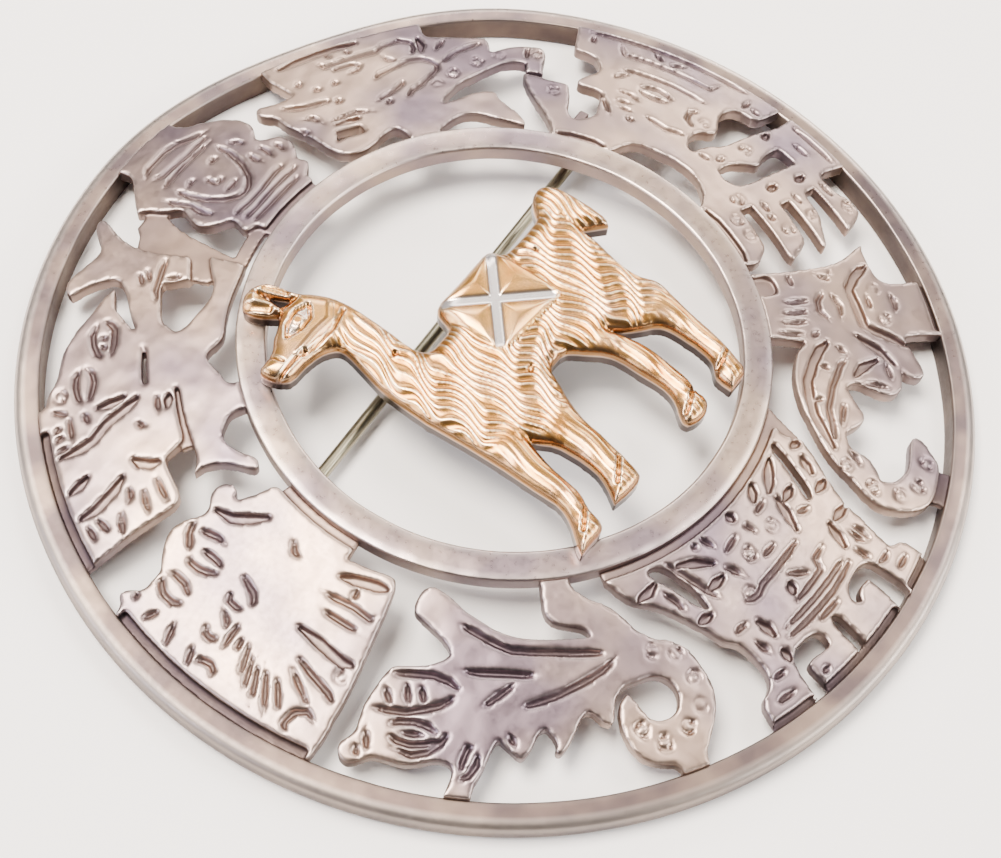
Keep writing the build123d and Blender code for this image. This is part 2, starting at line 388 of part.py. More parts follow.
# Head with a turban, a quiet face seen from the front
TURBANED_HEAD = [
    (95.9, 1.03), (95.9, 0.905), (98.0, 0.845), (100.0, 0.79), (101.6, 0.745), (100.6, 0.70),
    (100.3, 0.65), (99.9, 0.60), (99.0, 0.555), (98.5, 0.52), (99.4, 0.475), (100.3, 0.43),
    (100.8, 0.38), (100.3, 0.33), (99.0, 0.285), (97.6, 0.25), (97.3, 0.225), (97.9, 0.19),
    (98.9, 0.145), (98.2, 0.12), (96.5, 0.11), (96.5, 0.05), (88.0, 0.05), (80.0, 0.05),
    (80.0, 0.09), (79.3, 0.11), (77.9, 0.14), (76.8, 0.18), (77.7, 0.21), (77.9, 0.235),
    (77.1, 0.27), (76.35, 0.31), (75.9, 0.36), (76.1, 0.41), (77.05, 0.45), (79.3, 0.48),
    (79.75, 0.51), (79.3, 0.54), (78.4, 0.58), (78.05, 0.63), (78.4, 0.68), (79.3, 0.73),
    (80.7, 0.785), (82.9, 0.845), (85.2, 0.90), (86.0, 1.03),
]
TURBANED_HEAD_LINES = [
    [(96.0, 0.82), (93.7, 0.855), (90.0, 0.855), (87.9, 0.835), (85.65, 0.79), (83.15, 0.765)],
    [(95.6, 0.79), (93.9, 0.755), (88.6, 0.735), (84.0, 0.745)],
    [(96.6, 0.695), (90.5, 0.705), (84.4, 0.695)],
    [(95.6, 0.66), (95.8, 0.55), (95.2, 0.44), (93.6, 0.345), (91.8, 0.30), (90.3, 0.29),
     (88.8, 0.30), (87.0, 0.345), (85.4, 0.44), (84.8, 0.55), (85.0, 0.66)],
    [(94.3, 0.575), (93.2, 0.59), (92.1, 0.575)], [(88.7, 0.575), (87.6, 0.59), (86.5, 0.575)],
    [(91.3, 0.57), (91.4, 0.47), (90.4, 0.455), (89.4, 0.47)],
    [(92.2, 0.385), (90.4, 0.378), (88.6, 0.385)],
    [(98.2, 0.68), (98.0, 0.58), (97.4, 0.50), (97.9, 0.41), (97.4, 0.33)],
    [(83.4, 0.62), (82.3, 0.57), (81.4, 0.52)], [(83.0, 0.49), (83.3, 0.41), (82.9, 0.33)],
    [(80.9, 0.48), (80.4, 0.40), (80.8, 0.32)], [(78.6, 0.43), (78.1, 0.37), (78.3, 0.31)],
    [(96.2, 0.245), (92.0, 0.225), (88.0, 0.225), (83.0, 0.25), (79.4, 0.265)],
    [(96.9, 0.185), (92.0, 0.17), (86.0, 0.18), (79.2, 0.195)],
    [(96.4, 0.13), (90.0, 0.12), (81.0, 0.13)],
]

# Crouching creature with a raised tail
CROUCHING_CREATURE = [
    (70.0, 1.03), (70.2, 0.815), (69.9, 0.79), (69.3, 0.70), (69.0, 0.655), (70.0, 0.642),
    (72.0, 0.652), (73.9, 0.68), (75.4, 0.695), (75.9, 0.66), (75.6, 0.61), (74.1, 0.56),
    (74.2, 0.50), (73.85, 0.44), (72.7, 0.34), (72.3, 0.27), (71.9, 0.20), (71.3, 0.13),
    (70.0, 0.075), (68.0, 0.05), (66.0, 0.04), (63.0, 0.055), (61.0, 0.085), (59.0, 0.11),
    (57.0, 0.12), (56.0, 0.10), (55.0, 0.045), (55.0, -0.02), (48.0, -0.02), (47.5, 0.035),
    (45.0, 0.08), (42.7, 0.12), (40.2, 0.135), (37.1, 0.12), (34.8, 0.09), (30.2, 0.06),
    (28.0, 0.045), (28.1, 0.075), (29.05, 0.12), (30.6, 0.165), (32.5, 0.215), (33.9, 0.27),
    (34.1, 0.31), (35.2, 0.322), (37.1, 0.32), (39.3, 0.295), (41.6, 0.265), (44.6, 0.24),
    (45.4, 0.225), (44.8, 0.27), (42.7, 0.34), (40.5, 0.41), (38.2, 0.45), (35.9, 0.50),
    (34.1, 0.54), (32.5, 0.575), (30.2, 0.59), (28.6, 0.58), (28.6, 0.507), (25.5, 0.507),
    (25.9, 0.575), (25.5, 0.62), (25.5, 0.68), (26.0, 0.725), (26.6, 0.742), (30.0, 0.737),
    (32.5, 0.70), (34.3, 0.67), (34.8, 0.66), (34.7, 0.73), (35.2, 0.78), (35.9, 0.793),
    (39.3, 0.803), (43.9, 0.823), (44.8, 0.84), (45.0, 1.03),
]
CROUCHING_CREATURE_HOLES = [
    [(68.0, 0.26), (62.8, 0.225), (62.9, 0.16), (65.9, 0.18), (67.5, 0.19), (69.3, 0.175),
     (70.6, 0.165), (68.2, 0.215)],
]
CROUCHING_CREATURE_LINES = [
    [(67.9, 0.70), (66.2, 0.71)],
    [(62.7, 0.83), (61.6, 0.765), (52.9, 0.77), (51.4, 0.81), (49.0, 0.83), (47.2, 0.80),
     (46.9, 0.74), (48.0, 0.67)],
    [(52.6, 0.74), (51.6, 0.68), (50.2, 0.65)],
    [(61.3, 0.70), (60.0, 0.72), (57.6, 0.715), (56.3, 0.69), (57.4, 0.655), (59.4, 0.645)],
    [(60.6, 0.86), (59.8, 0.82)], [(57.4, 0.86), (56.9, 0.80)],
    [(55.65, 0.54), (54.1, 0.575), (51.1, 0.61), (48.9, 0.64), (46.6, 0.64), (45.0, 0.61),
     (44.1, 0.57), (44.3, 0.53), (45.2, 0.50), (47.5, 0.43), (49.75, 0.39), (52.2, 0.31)],
    [(57.5, 0.36), (55.4, 0.385), (52.9, 0.42), (51.3, 0.455), (50.9, 0.49)],
    [(35.5, 0.755), (37.5, 0.72), (40.0, 0.68), (42.0, 0.62), (43.4, 0.585)],
    [(41.9, 0.79), (43.9, 0.69)], [(73.2, 0.62), (70.9, 0.56), (69.1, 0.53), (63.9, 0.49)],
    [(72.0, 0.47), (69.3, 0.42), (68.2, 0.32)], [(73.0, 0.39), (71.9, 0.32)],
    [(67.4, 0.345), (62.0, 0.335), (58.0, 0.285)], [(28.5, 0.73), (28.6, 0.61)],
    [(66.2, 0.60), (65.2, 0.62), (64.1, 0.60)], [(62.8, 0.60), (61.8, 0.615), (60.9, 0.595)],
]
CROUCHING_CREATURE_BROAD = [
    [(68.0, 0.885), (61.5, 0.885), (55.0, 0.885)], [(67.2, 0.305), (64.5, 0.295), (62.0, 0.28)],
    [(46.0, 0.84), (45.7, 0.76), (46.1, 0.69)],
]
CROUCHING_CREATURE_RINGS = [(45.0, 0.41), (41.6, 0.483), (37.2, 0.575), (33.3, 0.635), (27.1, 0.67)]
CROUCHING_CREATURE_DOTS = [(63.3, 0.465), (55.1, 0.335)]

# Lower pieces that join the figures to the ring and the rim
LOWER_WEBS = [
    [(-73.6, 0.92), (-73.6, 1.03), (-78.3, 1.03), (-78.3, 0.92)],
    [(-39.6, -0.02), (-39.6, 0.14), (-45.2, 0.14), (-45.2, -0.02)],
    [(-72.0, -0.02), (-74.5, 0.07), (-76.0, 0.14), (-77.4, 0.21), (-79.5, 0.19), (-80.5, 0.04),
     (-80.5, -0.02)],
    [(-79.0, -0.02), (-79.0, 0.065), (-129.0, 0.065), (-129.5, -0.02)],
    [(-16.2, 1.03), (-16.2, 0.97), (-13.0, 0.97), (-13.0, 1.03)],
    [(181.6, -0.02), (181.6, 0.065), (162.7, 0.065), (162.7, -0.02)],
    [(90.0, -0.02), (90.0, 0.12), (86.0, 0.12), (86.0, -0.02)],
    [(97.0, -0.02), (97.0, 0.06), (80.0, 0.06), (80.0, -0.02)],
    [(107.4, 0.045), (107.4, 0.125), (99.3, 0.125), (96.0, 0.115), (95.5, 0.045)],
    [(103.6, 0.71), (104.9, 0.675), (107.6, 0.65), (108.2, 0.56), (108.4, 0.46), (108.2, 0.38),
     (108.8, 0.34), (111.6, 0.33), (112.0, 0.20), (107.0, 0.20), (107.2, 0.10), (105.0, 0.10),
     (104.9, 0.15), (104.3, 0.22), (103.4, 0.31), (102.7, 0.40), (102.0, 0.48), (100.9, 0.55),
     (99.7, 0.62), (99.7, 0.70)],
    [(126.5, 0.44), (126.5, 0.49), (123.8, 0.52), (123.8, 0.48)],
    [(28.4, 0.54), (28.4, 0.45), (25.8, 0.44), (25.9, 0.54)],
    [(146.0, 0.36), (146.0, 0.28), (133.4, 0.28), (132.6, 0.40), (132.8, 0.50), (135.0, 0.50),
     (135.2, 0.36)],
]

# The animal's outline and marks: every row is x and y in the brooch's plane
LLAMA = [
    (-7.6, 11.6), (-8.3, 12.7), (-8.5, 13.6), (-8.15, 14.05), (-7.3, 14.35), (-6.7, 14.2),
    (-6.1, 13.8), (-5.85, 13.1), (-5.7, 12.1), (-5.55, 11.6), (-5.2, 11.1), (-5.0, 10.7),
    (-4.65, 9.9), (-4.5, 8.9), (-4.5, 7.9), (-4.6, 6.4), (-4.7, 5.4), (-4.85, 4.4), (-4.9, 3.3),
    (-4.5, 2.75), (-2.6, 2.65), (-2.3, 2.9), (-2.1, 3.5), (-1.9, 4.0), (-1.4, 4.25),
    (0.8, 4.1), (3.5, 4.0), (3.9, 3.7), (4.0, 3.0), (4.8, 2.8), (6.3, 2.7), (7.8, 2.7),
    (8.0, 3.0), (8.5, 3.5), (9.0, 3.85), (9.6, 4.0), (10.1, 3.9), (10.5, 3.4), (10.7, 2.7),
    (10.7, 1.7), (10.6, 0.4), (10.4, -0.9), (10.0, -1.3), (8.65, 0.0), (8.5, -1.2), (8.1, -2.4),
    (7.9, -3.1), (7.7, -3.9), (7.65, -4.8), (7.8, -5.3), (8.0, -5.9), (7.9, -6.6), (7.7, -7.1),
    (7.5, -7.7), (7.2, -8.6), (6.9, -9.6), (6.7, -10.4), (6.4, -11.4), (6.1, -12.2),
    (5.8, -12.8), (5.4, -13.7), (3.7, -13.6), (3.8, -12.6), (4.1, -12.2), (4.7, -11.8),
    (5.0, -11.3), (5.2, -10.3), (5.3, -9.3), (5.35, -8.3), (5.1, -7.6), (4.4, -7.0),
    (3.7, -6.3), (3.0, -5.2), (3.25, -6.3), (3.4, -7.6), (3.3, -8.6), (3.1, -9.6),
    (2.9, -10.6), (2.7, -11.3), (2.3, -11.8), (2.25, -12.6), (1.7, -13.0), (1.0, -13.05),
    (0.3, -12.8), (-0.1, -12.4), (0.3, -11.8), (1.0, -11.2), (1.4, -10.4), (1.5, -9.6),
    (1.55, -8.2), (1.65, -7.0), (1.5, -6.1), (0.9, -5.1), (0.5, -4.4), (0.1, -3.85),
    (-1.35, -3.75), (-2.0, -4.9), (-2.5, -5.7), (-2.9, -6.5), (-3.3, -7.5), (-3.5, -8.6),
    (-3.8, -9.6), (-4.0, -10.4), (-4.4, -11.6), (-4.7, -12.0), (-5.8, -11.9), (-7.0, -11.55),
    (-6.4, -10.8), (-5.9, -10.0), (-5.7, -9.3), (-5.6, -8.3), (-5.6, -6.8), (-6.0, -6.0),
    (-6.3, -5.3), (-6.6, -6.1), (-6.9, -6.9), (-7.1, -7.6), (-7.3, -8.6), (-7.5, -9.6),
    (-8.1, -10.4), (-8.25, -10.9), (-8.5, -11.6), (-8.9, -11.8), (-9.9, -11.65), (-10.8, -11.6),
    (-10.4, -11.05), (-9.4, -10.0), (-8.85, -9.0), (-8.8, -7.3), (-8.65, -5.0), (-8.6, -2.5),
    (-8.65, 0.3), (-8.5, 2.2), (-8.3, 3.8), (-7.9, 5.1), (-7.5, 6.4), (-7.35, 7.2), (-7.7, 7.7),
    (-8.4, 8.1), (-9.5, 8.3), (-10.7, 8.35), (-11.1, 8.7), (-11.35, 9.2), (-11.5, 9.8),
    (-11.4, 10.35), (-10.6, 10.35), (-9.7, 10.5), (-9.3, 10.85), (-8.5, 11.2),
]
LLAMA_EAR_GAP = [(-7.0, 11.9), (-6.2, 11.7), (-6.6, 12.6), (-6.95, 13.3)]
LLAMA_MARKS = [
    [(-8.6, 10.3), (-7.9, 10.75), (-6.9, 10.85), (-6.2, 10.55)],
    [(-8.5, 10.2), (-7.6, 9.9), (-6.8, 9.95), (-6.3, 10.35)],
    [(-11.2, 9.0), (-9.0, 8.75), (-6.6, 8.5)], [(-10.4, 10.1), (-10.4, 9.4)],
    [(-7.9, 13.5), (-7.7, 12.4)], [(-6.4, 13.4), (-6.0, 12.2)],
]
# Waves of the fleece: column x at the top, top y, bottom y, and the lean from top to bottom
FLEECE = [
    (-7.4, 6.6, -3.0, -0.5), (-6.7, 7.4, -3.8, -0.3), (-6.0, 7.6, -5.0, 0.2),
    (-5.4, 7.2, -5.6, 1.0), (-4.2, 2.3, -6.4, 0.6), (-3.3, 2.2, -5.0, 0.5),
    (-1.5, -1.4, -3.2, 0.1), (-0.4, -1.5, -3.3, 0.2), (0.8, -1.8, -3.6, 0.4),
    (4.6, 2.4, -5.0, -1.2), (5.5, 2.3, -6.2, -0.9), (6.4, 2.3, -6.6, -0.4),
    (7.3, 2.3, -6.2, -0.3), (9.6, 3.6, 0.2, 0.5),
]
WAVE_LENGTH = 3.4
WAVE_SWING = 0.28
WAVE_STEP = 0.85
SADDLE = [
    (-1.9, 4.0), (-1.4, 4.2), (0.8, 4.05), (3.5, 3.95), (3.9, 3.6), (3.7, -0.5), (3.3, -1.7),
    (1.0, -1.45), (-1.7, -1.1), (-2.3, -0.5), (-2.15, 2.0),
]
SADDLE_CROSS = [[(-1.2, 3.7), (3.0, -1.1)], [(3.4, 3.5), (-1.9, -0.5)]]


# Sunk ledges where a figure meets the rim: start and end degrees, and the share where the ledge begins
RIM_LEDGES = [
    (137.0, 156.0, 0.955), (163.0, 190.0, 0.955), (244.0, 250.0, 0.96), (252.0, 265.8, 0.96),
    (269.0, 273.9, 0.96), (307.5, 316.0, 0.96),
]
LEDGE_END = 1.05


def ribbon(points, width, taper=1.0):
    """A flat strip along a bent line, with mitred corners, narrowed to a share of its width at the ends."""
    if len(points) == 2:
        (start_x, start_y), (end_x, end_y) = points
        points = [points[0], ((start_x + end_x) / 2, (start_y + end_y) / 2), points[1]]
    left = []
    right = []
    last = len(points) - 1
    for index, (x, y) in enumerate(points):
        before = points[max(index - 1, 0)]
        after = points[min(index + 1, last)]
        along = math.atan2(after[1] - before[1], after[0] - before[0])
        here = width * taper if index in (0, last) else width
        offset_x = -math.sin(along) * here / 2
        offset_y = math.cos(along) * here / 2
        left.append((x + offset_x, y + offset_y))
        right.append((x - offset_x, y - offset_y))
    return left + right[::-1]


def softened(points):
    """An outline with its blunt corners cut, as a file rounds a sawn edge; sharp points stay."""
    out = []
    count = len(points)
    for index, (x, y) in enumerate(points):
        before_x, before_y = points[index - 1]
        after_x, after_y = points[(index + 1) % count]
        arrive = math.atan2(y - before_y, x - before_x)
        leave = math.atan2(after_y - y, after_x - x)
        turn = abs(math.degrees(math.remainder(leave - arrive, 2 * math.pi)))
        if turn < corner_least or turn > corner_most:
            out.append((x, y))
            continue
        length_in = math.hypot(x - before_x, y - before_y)
        length_out = math.hypot(after_x - x, after_y - y)
        cut_in = min(corner_cut, corner_share * length_in) / length_in
        cut_out = min(corner_cut, corner_share * length_out) / length_out
        out.append((x + (before_x - x) * cut_in, y + (before_y - y) * cut_in))
        out.append((x + (after_x - x) * cut_out, y + (after_y - y) * cut_out))
    return out


def along_arcs(points, closed=True):
    """The points with more between those far apart, so that long edges follow the round frame."""
    ends = points[1:] + points[:1] if closed else points[1:]
    out = []
    for (angle, share), (next_angle, next_share) in zip(points, ends):
        parts = max(1, math.ceil(abs(next_angle - angle) / arc_step))
        for part in range(parts):
            along = part / parts
            out.append((angle + (next_angle - angle) * along, share + (next_share - share) * along))
    if not closed:
        out.append(points[-1])
    return out


def prism(points, bottom, height):
    """A straight block over a flat outline."""
    outline = Polyline(*[(x, y, bottom) for x, y in points], close=True)
    return extrude(make_face(outline), amount=height, dir=(0, 0, 1))


def ring_prism(x, y, radius, width, bottom, height):
    outer = Pos(x, y, bottom) * Cylinder(radius, height, align=ROUND_BASE)
    inner = Pos(x, y, bottom) * Cylinder(radius - width, height, align=ROUND_BASE)
    return outer - inner


def turned(profile):
    """A body turned about the upright axis from radius and height pairs."""
    outline = Polyline(*[(r, 0, z) for r, z in profile], close=True)
    return revolve(make_face(outline), axis=Axis.Z, revolution_arc=360)


def rim_outline(radius):
    """The rim's line at one radius, pressed in where the real one is out of round."""
    start = math.radians(flat_start)
    middle = math.radians(flat_middle)
    end = math.radians(flat_end)
    first = (radius * math.cos(start), radius * math.sin(start))
    pressed = radius - flat_depth
    mid = (pressed * math.cos(middle), pressed * math.sin(middle))
    last = (radius * math.cos(end), radius * math.sin(end))
    leave = (-math.sin(start), math.cos(start))
    arrive = (-math.sin(end), math.cos(end))
    flat = Spline(first, mid, last, tangents=[leave, arrive])
    far = ThreePointArc(last, (-radius * math.cos(middle), -radius * math.sin(middle)), first)
    return make_face([flat, far])


ROUND_BASE = (Align.CENTER, Align.CENTER, Align.MIN)
tall = ring_top + 1.0

# Rim, rounded on its outer side
rim = extrude(rim_outline(rim_radius), amount=rim_height)
long_edges = rim.edges().filter_by(lambda edge: edge.length > rim_radius)
rim = fillet(long_edges, rim_round)
rim = rim - extrude(rim_outline(rim_inner_radius), amount=rim_height)

# Ring, with its edges broken
ring = turned([
    (ring_inner_radius, ring_bottom),
    (ring_inner_radius, ring_top - ring_edge_break),
    (ring_inner_radius + ring_edge_break, ring_top),
    (ring_outer_radius - ring_edge_break, ring_top),
    (ring_outer_radius, ring_top - ring_edge_break),
    (ring_outer_radius, ring_bottom),
])

# The shallow cone that the figures and the webs lie in
cone_inner = ring_outer_radius - ring_edge_break - joint_overlap
cone_outer = rim_radius


def cone_shell(drop, thickness):
    return turned([
        (cone_inner, top_at(cone_inner) - drop - thickness),
        (cone_inner, top_at(cone_inner) - drop),
        (cone_outer, top_at(cone_outer) - drop),
        (cone_outer, top_at(cone_outer) - drop - thickness),
    ])


def cone_cover(drop):
    return turned([
        (cone_inner, top_at(cone_inner) - drop),
        (cone_inner, tall),
        (cone_outer, tall),
        (cone_outer, top_at(cone_outer) - drop),
    ])


inside_rim = extrude(rim_outline(rim_inner_radius + joint_overlap), amount=tall)
plate = cone_shell(0, plate_thickness) & inside_rim
web_plate = cone_shell(web_drop, web_thickness) & inside_rim
carve = cone_cover(groove_depth)
deep_carve = cone_cover(broad_depth)


def polar(points, closed=True):
    return [polar_point(degrees, share) for degrees, share in along_arcs(points, closed)]


def rim_ledge(start, end, share):
    """The metal taken off above one sunk ledge."""
    corners = [(start, share), (end, share), (end, LEDGE_END), (start, LEDGE_END)]
    return prism(polar(corners), 0, tall) & cone_cover(ledge_drop)


ledges = [rim_ledge(start, end, share) for start, end, share in RIM_LEDGES]


def figure(outline, holes=(), lines=(), broad=(), rings=(), dots=()):
    """One pierced and chased figure, cut from the domed plate."""
    body = prism(softened(polar(outline)), 0, tall)
    cuts = [prism(softened(polar(hole)), 0, tall) for hole in holes]
    if cuts:
        body = body - cuts
    body = body & plate
    for line in broad:
        tool = prism(ribbon(polar(line, False), broad_groove, groove_taper), 0, tall)
        body = body - (tool & deep_carve)
    tools = [prism(ribbon(polar(line, False), groove_width, groove_taper), 0, tall) for line in lines]
    for degrees, share in rings:
        x, y = polar_point(degrees, share)
        tools.append(ring_prism(x, y, ring_radius, punch_width, 0, tall))
    for degrees, share in dots:
        x, y = polar_point(degrees, share)
        tools.append(Pos(x, y, 0) * Cylinder(dot_radius, tall, align=ROUND_BASE))
    for tool in tools:
        body = body - (tool & carve)
    return body - ledges


figures = [
    figure(CAPPED_FACE, CAPPED_FACE_HOLES, CAPPED_FACE_LINES, CAPPED_FACE_BROAD, CAPPED_FACE_RINGS,
           CAPPED_FACE_DOTS),
    figure(SQUARE_FACE, SQUARE_FACE_HOLES, SQUARE_FACE_LINES, SQUARE_FACE_BROAD, SQUARE_FACE_RINGS),
    figure(STAFF_BEARER, STAFF_BEARER_HOLES, STAFF_BEARER_LINES, STAFF_BEARER_BROAD,
           STAFF_BEARER_RINGS),
    figure(CRESTED_SERPENT, (), CRESTED_SERPENT_LINES, (), CRESTED_SERPENT_RINGS),
    figure(RAYED_HEAD, (), RAYED_HEAD_LINES, RAYED_HEAD_BROAD, RAYED_HEAD_RINGS),
    figure(PLUMED_HEAD, (), PLUMED_HEAD_LINES, PLUMED_HEAD_BROAD, PLUMED_HEAD_RINGS),
    figure(DANCER, (), DANCER_LINES),
    figure(TURBANED_HEAD, (), TURBANED_HEAD_LINES),
    figure(CROUCHING_CREATURE, CROUCHING_CREATURE_HOLES, CROUCHING_CREATURE_LINES,
           CROUCHING_CREATURE_BROAD, CROUCHING_CREATURE_RINGS, CROUCHING_CREATURE_DOTS),
]
webs = [prism(polar(web), 0, tall) & web_plate for web in LOWER_WEBS]

# Hinge ears and catch, soldered to the back
ear_top = ring_bottom + joint_overlap
ear_height = ear_top - ear_bottom
ear_shift = (knuckle_width + ear_thickness) / 2 + hinge_clearance
ears = []
for side in (-1, 1):
    ear = Pos(hinge_place, pin_line + side * ear_shift, ear_bottom) * Box(
        ear_width, ear_thickness, ear_height, align=ROUND_BASE)
    ears.append(ear)
catch_depth = stem_diameter + 2 * catch_wall + catch_clearance
catch = Pos(-catch_place, pin_line, ear_bottom) * Box(
    catch_width, catch_depth, ear_height, align=ROUND_BASE)
catch_slot_top = pin_height + stem_diameter / 2 + catch_clearance
catch_slot = Pos(-catch_place, pin_line, 0) * Box(
    2 * catch_width, stem_diameter + catch_clearance, catch_slot_top, align=ROUND_BASE)
catch = catch - catch_slot
rivet_hole = Pos(hinge_place, pin_line, pin_height) * Rot(90, 0, 0) * Cylinder(
    rivet_diameter / 2, knuckle_width + 4 * ear_thickness)

openwork = rim + [ring] + figures + webs + ears + [catch]
openwork = openwork - rivet_hole

# Pin stem with its knuckle, turning on a rivet
stem_start = hinge_place - knuckle_diameter / 4
stem_end = -catch_place - catch_width
stem_length = stem_start - stem_end
stem = Pos(stem_start, pin_line, pin_height) * Rot(0, -90, 0) * Cylinder(
    stem_diameter / 2, stem_length, align=ROUND_BASE)
tip = Pos(stem_end, pin_line, pin_height) * Rot(0, -90, 0) * Cone(
    stem_diameter / 2, tip_diameter / 2, stem_tip, align=ROUND_BASE)
knuckle = Pos(hinge_place, pin_line, pin_height) * Rot(90, 0, 0) * Cylinder(
    knuckle_diameter / 2, knuckle_width)
bore = Pos(hinge_place, pin_line, pin_height) * Rot(90, 0, 0) * Cylinder(
    rivet_diameter / 2 + rivet_clearance, 2 * knuckle_width)
pin_stem = stem + tip + knuckle - bore
rivet_length = knuckle_width + 2 * (hinge_clearance + ear_thickness)
hinge_rivet = Pos(hinge_place, pin_line, pin_height) * Rot(90, 0, 0) * Cylinder(
    rivet_diameter / 2 - rivet_seat, rivet_length)

# Animal
llama_bottom = ring_top + llama_gap
llama_top = llama_bottom + llama_thickness
llama = prism(softened(LLAMA), llama_bottom, llama_thickness)
llama = llama - prism(LLAMA_EAR_GAP, llama_bottom, llama_thickness)
fleece_tools = []
for start_x, start_y, end_y, lean in FLEECE:
    steps = max(2, round((start_y - end_y) / WAVE_STEP))
    wave = []
    for step in range(steps + 1):
        part = step / steps
        y = start_y + (end_y - start_y) * part
        x = start_x + lean * part + WAVE_SWING * math.sin(2 * math.pi * y / WAVE_LENGTH)
        wave.append((x, y))
    fleece_tools.append(prism(ribbon(wave, fleece_width), llama_top - fleece_depth, fleece_depth))
for mark in LLAMA_MARKS:
    fleece_tools.append(prism(ribbon(mark, fleece_width), llama_top - fleece_depth, fleece_depth))
for tool in fleece_tools:
    llama = llama - tool
saddle = prism(SADDLE, llama_top, saddle_rise)
llama = llama + prism(SADDLE, llama_top - fleece_depth, fleece_depth + saddle_rise)
for band in SADDLE_CROSS:
    cross_bottom = llama_top + saddle_rise - cross_depth
    llama = llama - prism(ribbon(band, cross_width), cross_bottom, cross_depth)

for name, solid in (("openwork", openwork), ("llama", llama), ("pin_stem", pin_stem),
                    ("hinge_rivet", hinge_rivet)):
    export_step(solid, "parts/" + name + ".step")
    print(name, len(solid.solids()), "solid, volume", round(solid.volume, 2))
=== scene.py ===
# %% [markdown]
# # A pierced silver brooch with a gilt llama
#
# This lesson dresses a round brooch that a silversmith would saw, chase and solder by hand. The
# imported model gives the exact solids. Here they get what the hand and the years gave the real
# one: softened edges, dark recesses, a satin polish, and gilding on the animal in the middle.

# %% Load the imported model
import math

import bmesh
import bpy
import numpy as np
from mathutils import Matrix, Vector


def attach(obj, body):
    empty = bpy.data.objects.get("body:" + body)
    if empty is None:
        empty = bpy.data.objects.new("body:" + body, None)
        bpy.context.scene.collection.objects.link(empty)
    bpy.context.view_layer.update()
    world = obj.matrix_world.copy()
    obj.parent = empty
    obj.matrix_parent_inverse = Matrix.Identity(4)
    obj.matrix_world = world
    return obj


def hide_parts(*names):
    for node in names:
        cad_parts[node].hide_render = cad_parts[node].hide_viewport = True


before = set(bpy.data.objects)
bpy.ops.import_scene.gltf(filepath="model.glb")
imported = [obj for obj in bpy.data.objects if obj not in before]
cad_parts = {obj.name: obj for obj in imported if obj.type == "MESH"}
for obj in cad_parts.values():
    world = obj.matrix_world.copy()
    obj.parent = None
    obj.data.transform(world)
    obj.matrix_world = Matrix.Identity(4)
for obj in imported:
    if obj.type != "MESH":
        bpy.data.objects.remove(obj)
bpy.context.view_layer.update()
MM = 0.001

# %% [markdown]
# ## Sizes that the dressing shares with the solids
#
# The figures lie in a shallow cone that falls from the ring to the rim, so one line gives the
# height of the silver's top at any radius. The same numbers shape the ring and the rim.

# %% Sizes in millimetres
RIM_WIDTH = 1.5
RIM_HEIGHT = 1.8
RING_INNER = 14.7
RING_OUTER = 16.5
RING_TOP = 3.8
RING_BOTTOM = 2.6
PLATE_TOP_AT_RING = 3.7
PLATE_TOP_AT_RIM = 2.1
RIM_INNER = 28.5
LLAMA_THICKNESS = 1.6
SADDLE_RISE = 0.25


def plate_top(radius):
    """Height of the pierced plate's face at a radius, in millimetres."""
    share = (RIM_INNER - radius) / (RIM_INNER - RING_OUTER)
    return PLATE_TOP_AT_RIM + (PLATE_TOP_AT_RING - PLATE_TOP_AT_RIM) * share


# %% [markdown]
# ## Small helpers
#
# Colours are written as the sRGB hex values that a colour picker shows, and one function turns
# them into the linear values that a shader wants. The others add a node with its settings and
# its links, which keeps every material short. Blender's Mix node has one set of sockets for each
# kind of value, so its colour sockets are picked by their number.

# %% Colour and node helpers
MIX_COLOUR_SOCKETS = (0, 6, 7)
MIX_COLOUR_RESULT = 2


def linear(hex_colour):
    """sRGB hex to a linear RGBA tuple."""
    values = [int(hex_colour[i:i + 2], 16) / 255 for i in (1, 3, 5)]
    straight = [v / 12.92 if v <= 0.04045 else ((v + 0.055) / 1.055) ** 2.4 for v in values]
    return (*straight, 1.0)


def add_node(material, kind, settings=None, links=None):
    """A shader node with its settings; links maps its input sockets to output sockets."""
    tree = material.node_tree
    node = tree.nodes.new(kind)
    for key, value in (settings or {}).items():
        if isinstance(key, int) or key in node.inputs:
            node.inputs[key].default_value = value
        else:
            setattr(node, key, value)
    for key, source in (links or {}).items():
        tree.links.new(source, node.inputs[key])
    return node


def ramp(material, source, stops):
    """A colour ramp from position and hex pairs."""
    node = add_node(material, "ShaderNodeValToRGB", links={"Fac": source})
    elements = node.color_ramp.elements
    while len(elements) < len(stops):
        elements.new(0.5)
    for element, (place, colour) in zip(elements, stops):
        element.position = place
        element.color = linear(colour)
    return node.outputs["Color"]


def mix_colour(material, amount, first, second):
    """Two colours mixed by an amount; each may be a colour or another node's output."""
    node = add_node(material, "ShaderNodeMix", {"data_type": "RGBA"})
    for index, value in zip(MIX_COLOUR_SOCKETS, (amount, first, second)):
        if hasattr(value, "is_output"):
            material.node_tree.links.new(value, node.inputs[index])
        else:
            node.inputs[index].default_value = value
    return node.outputs[MIX_COLOUR_RESULT]


def number_of(material, name):
    """The value that a mesh carries for every point under a name."""
    return add_node(material, "ShaderNodeAttribute", {"attribute_name": name}).outputs["Fac"]


def noise(material, place, size, detail, roughness=0.5):
    """A cloudy pattern from 0 to 1 whose patches are about a size in millimetres."""
    settings = {"Scale": 1 / (size * MM), "Detail": detail, "Roughness": roughness}
    return add_node(material, "ShaderNodeTexNoise", settings, {"Vector": place}).outputs["Fac"]


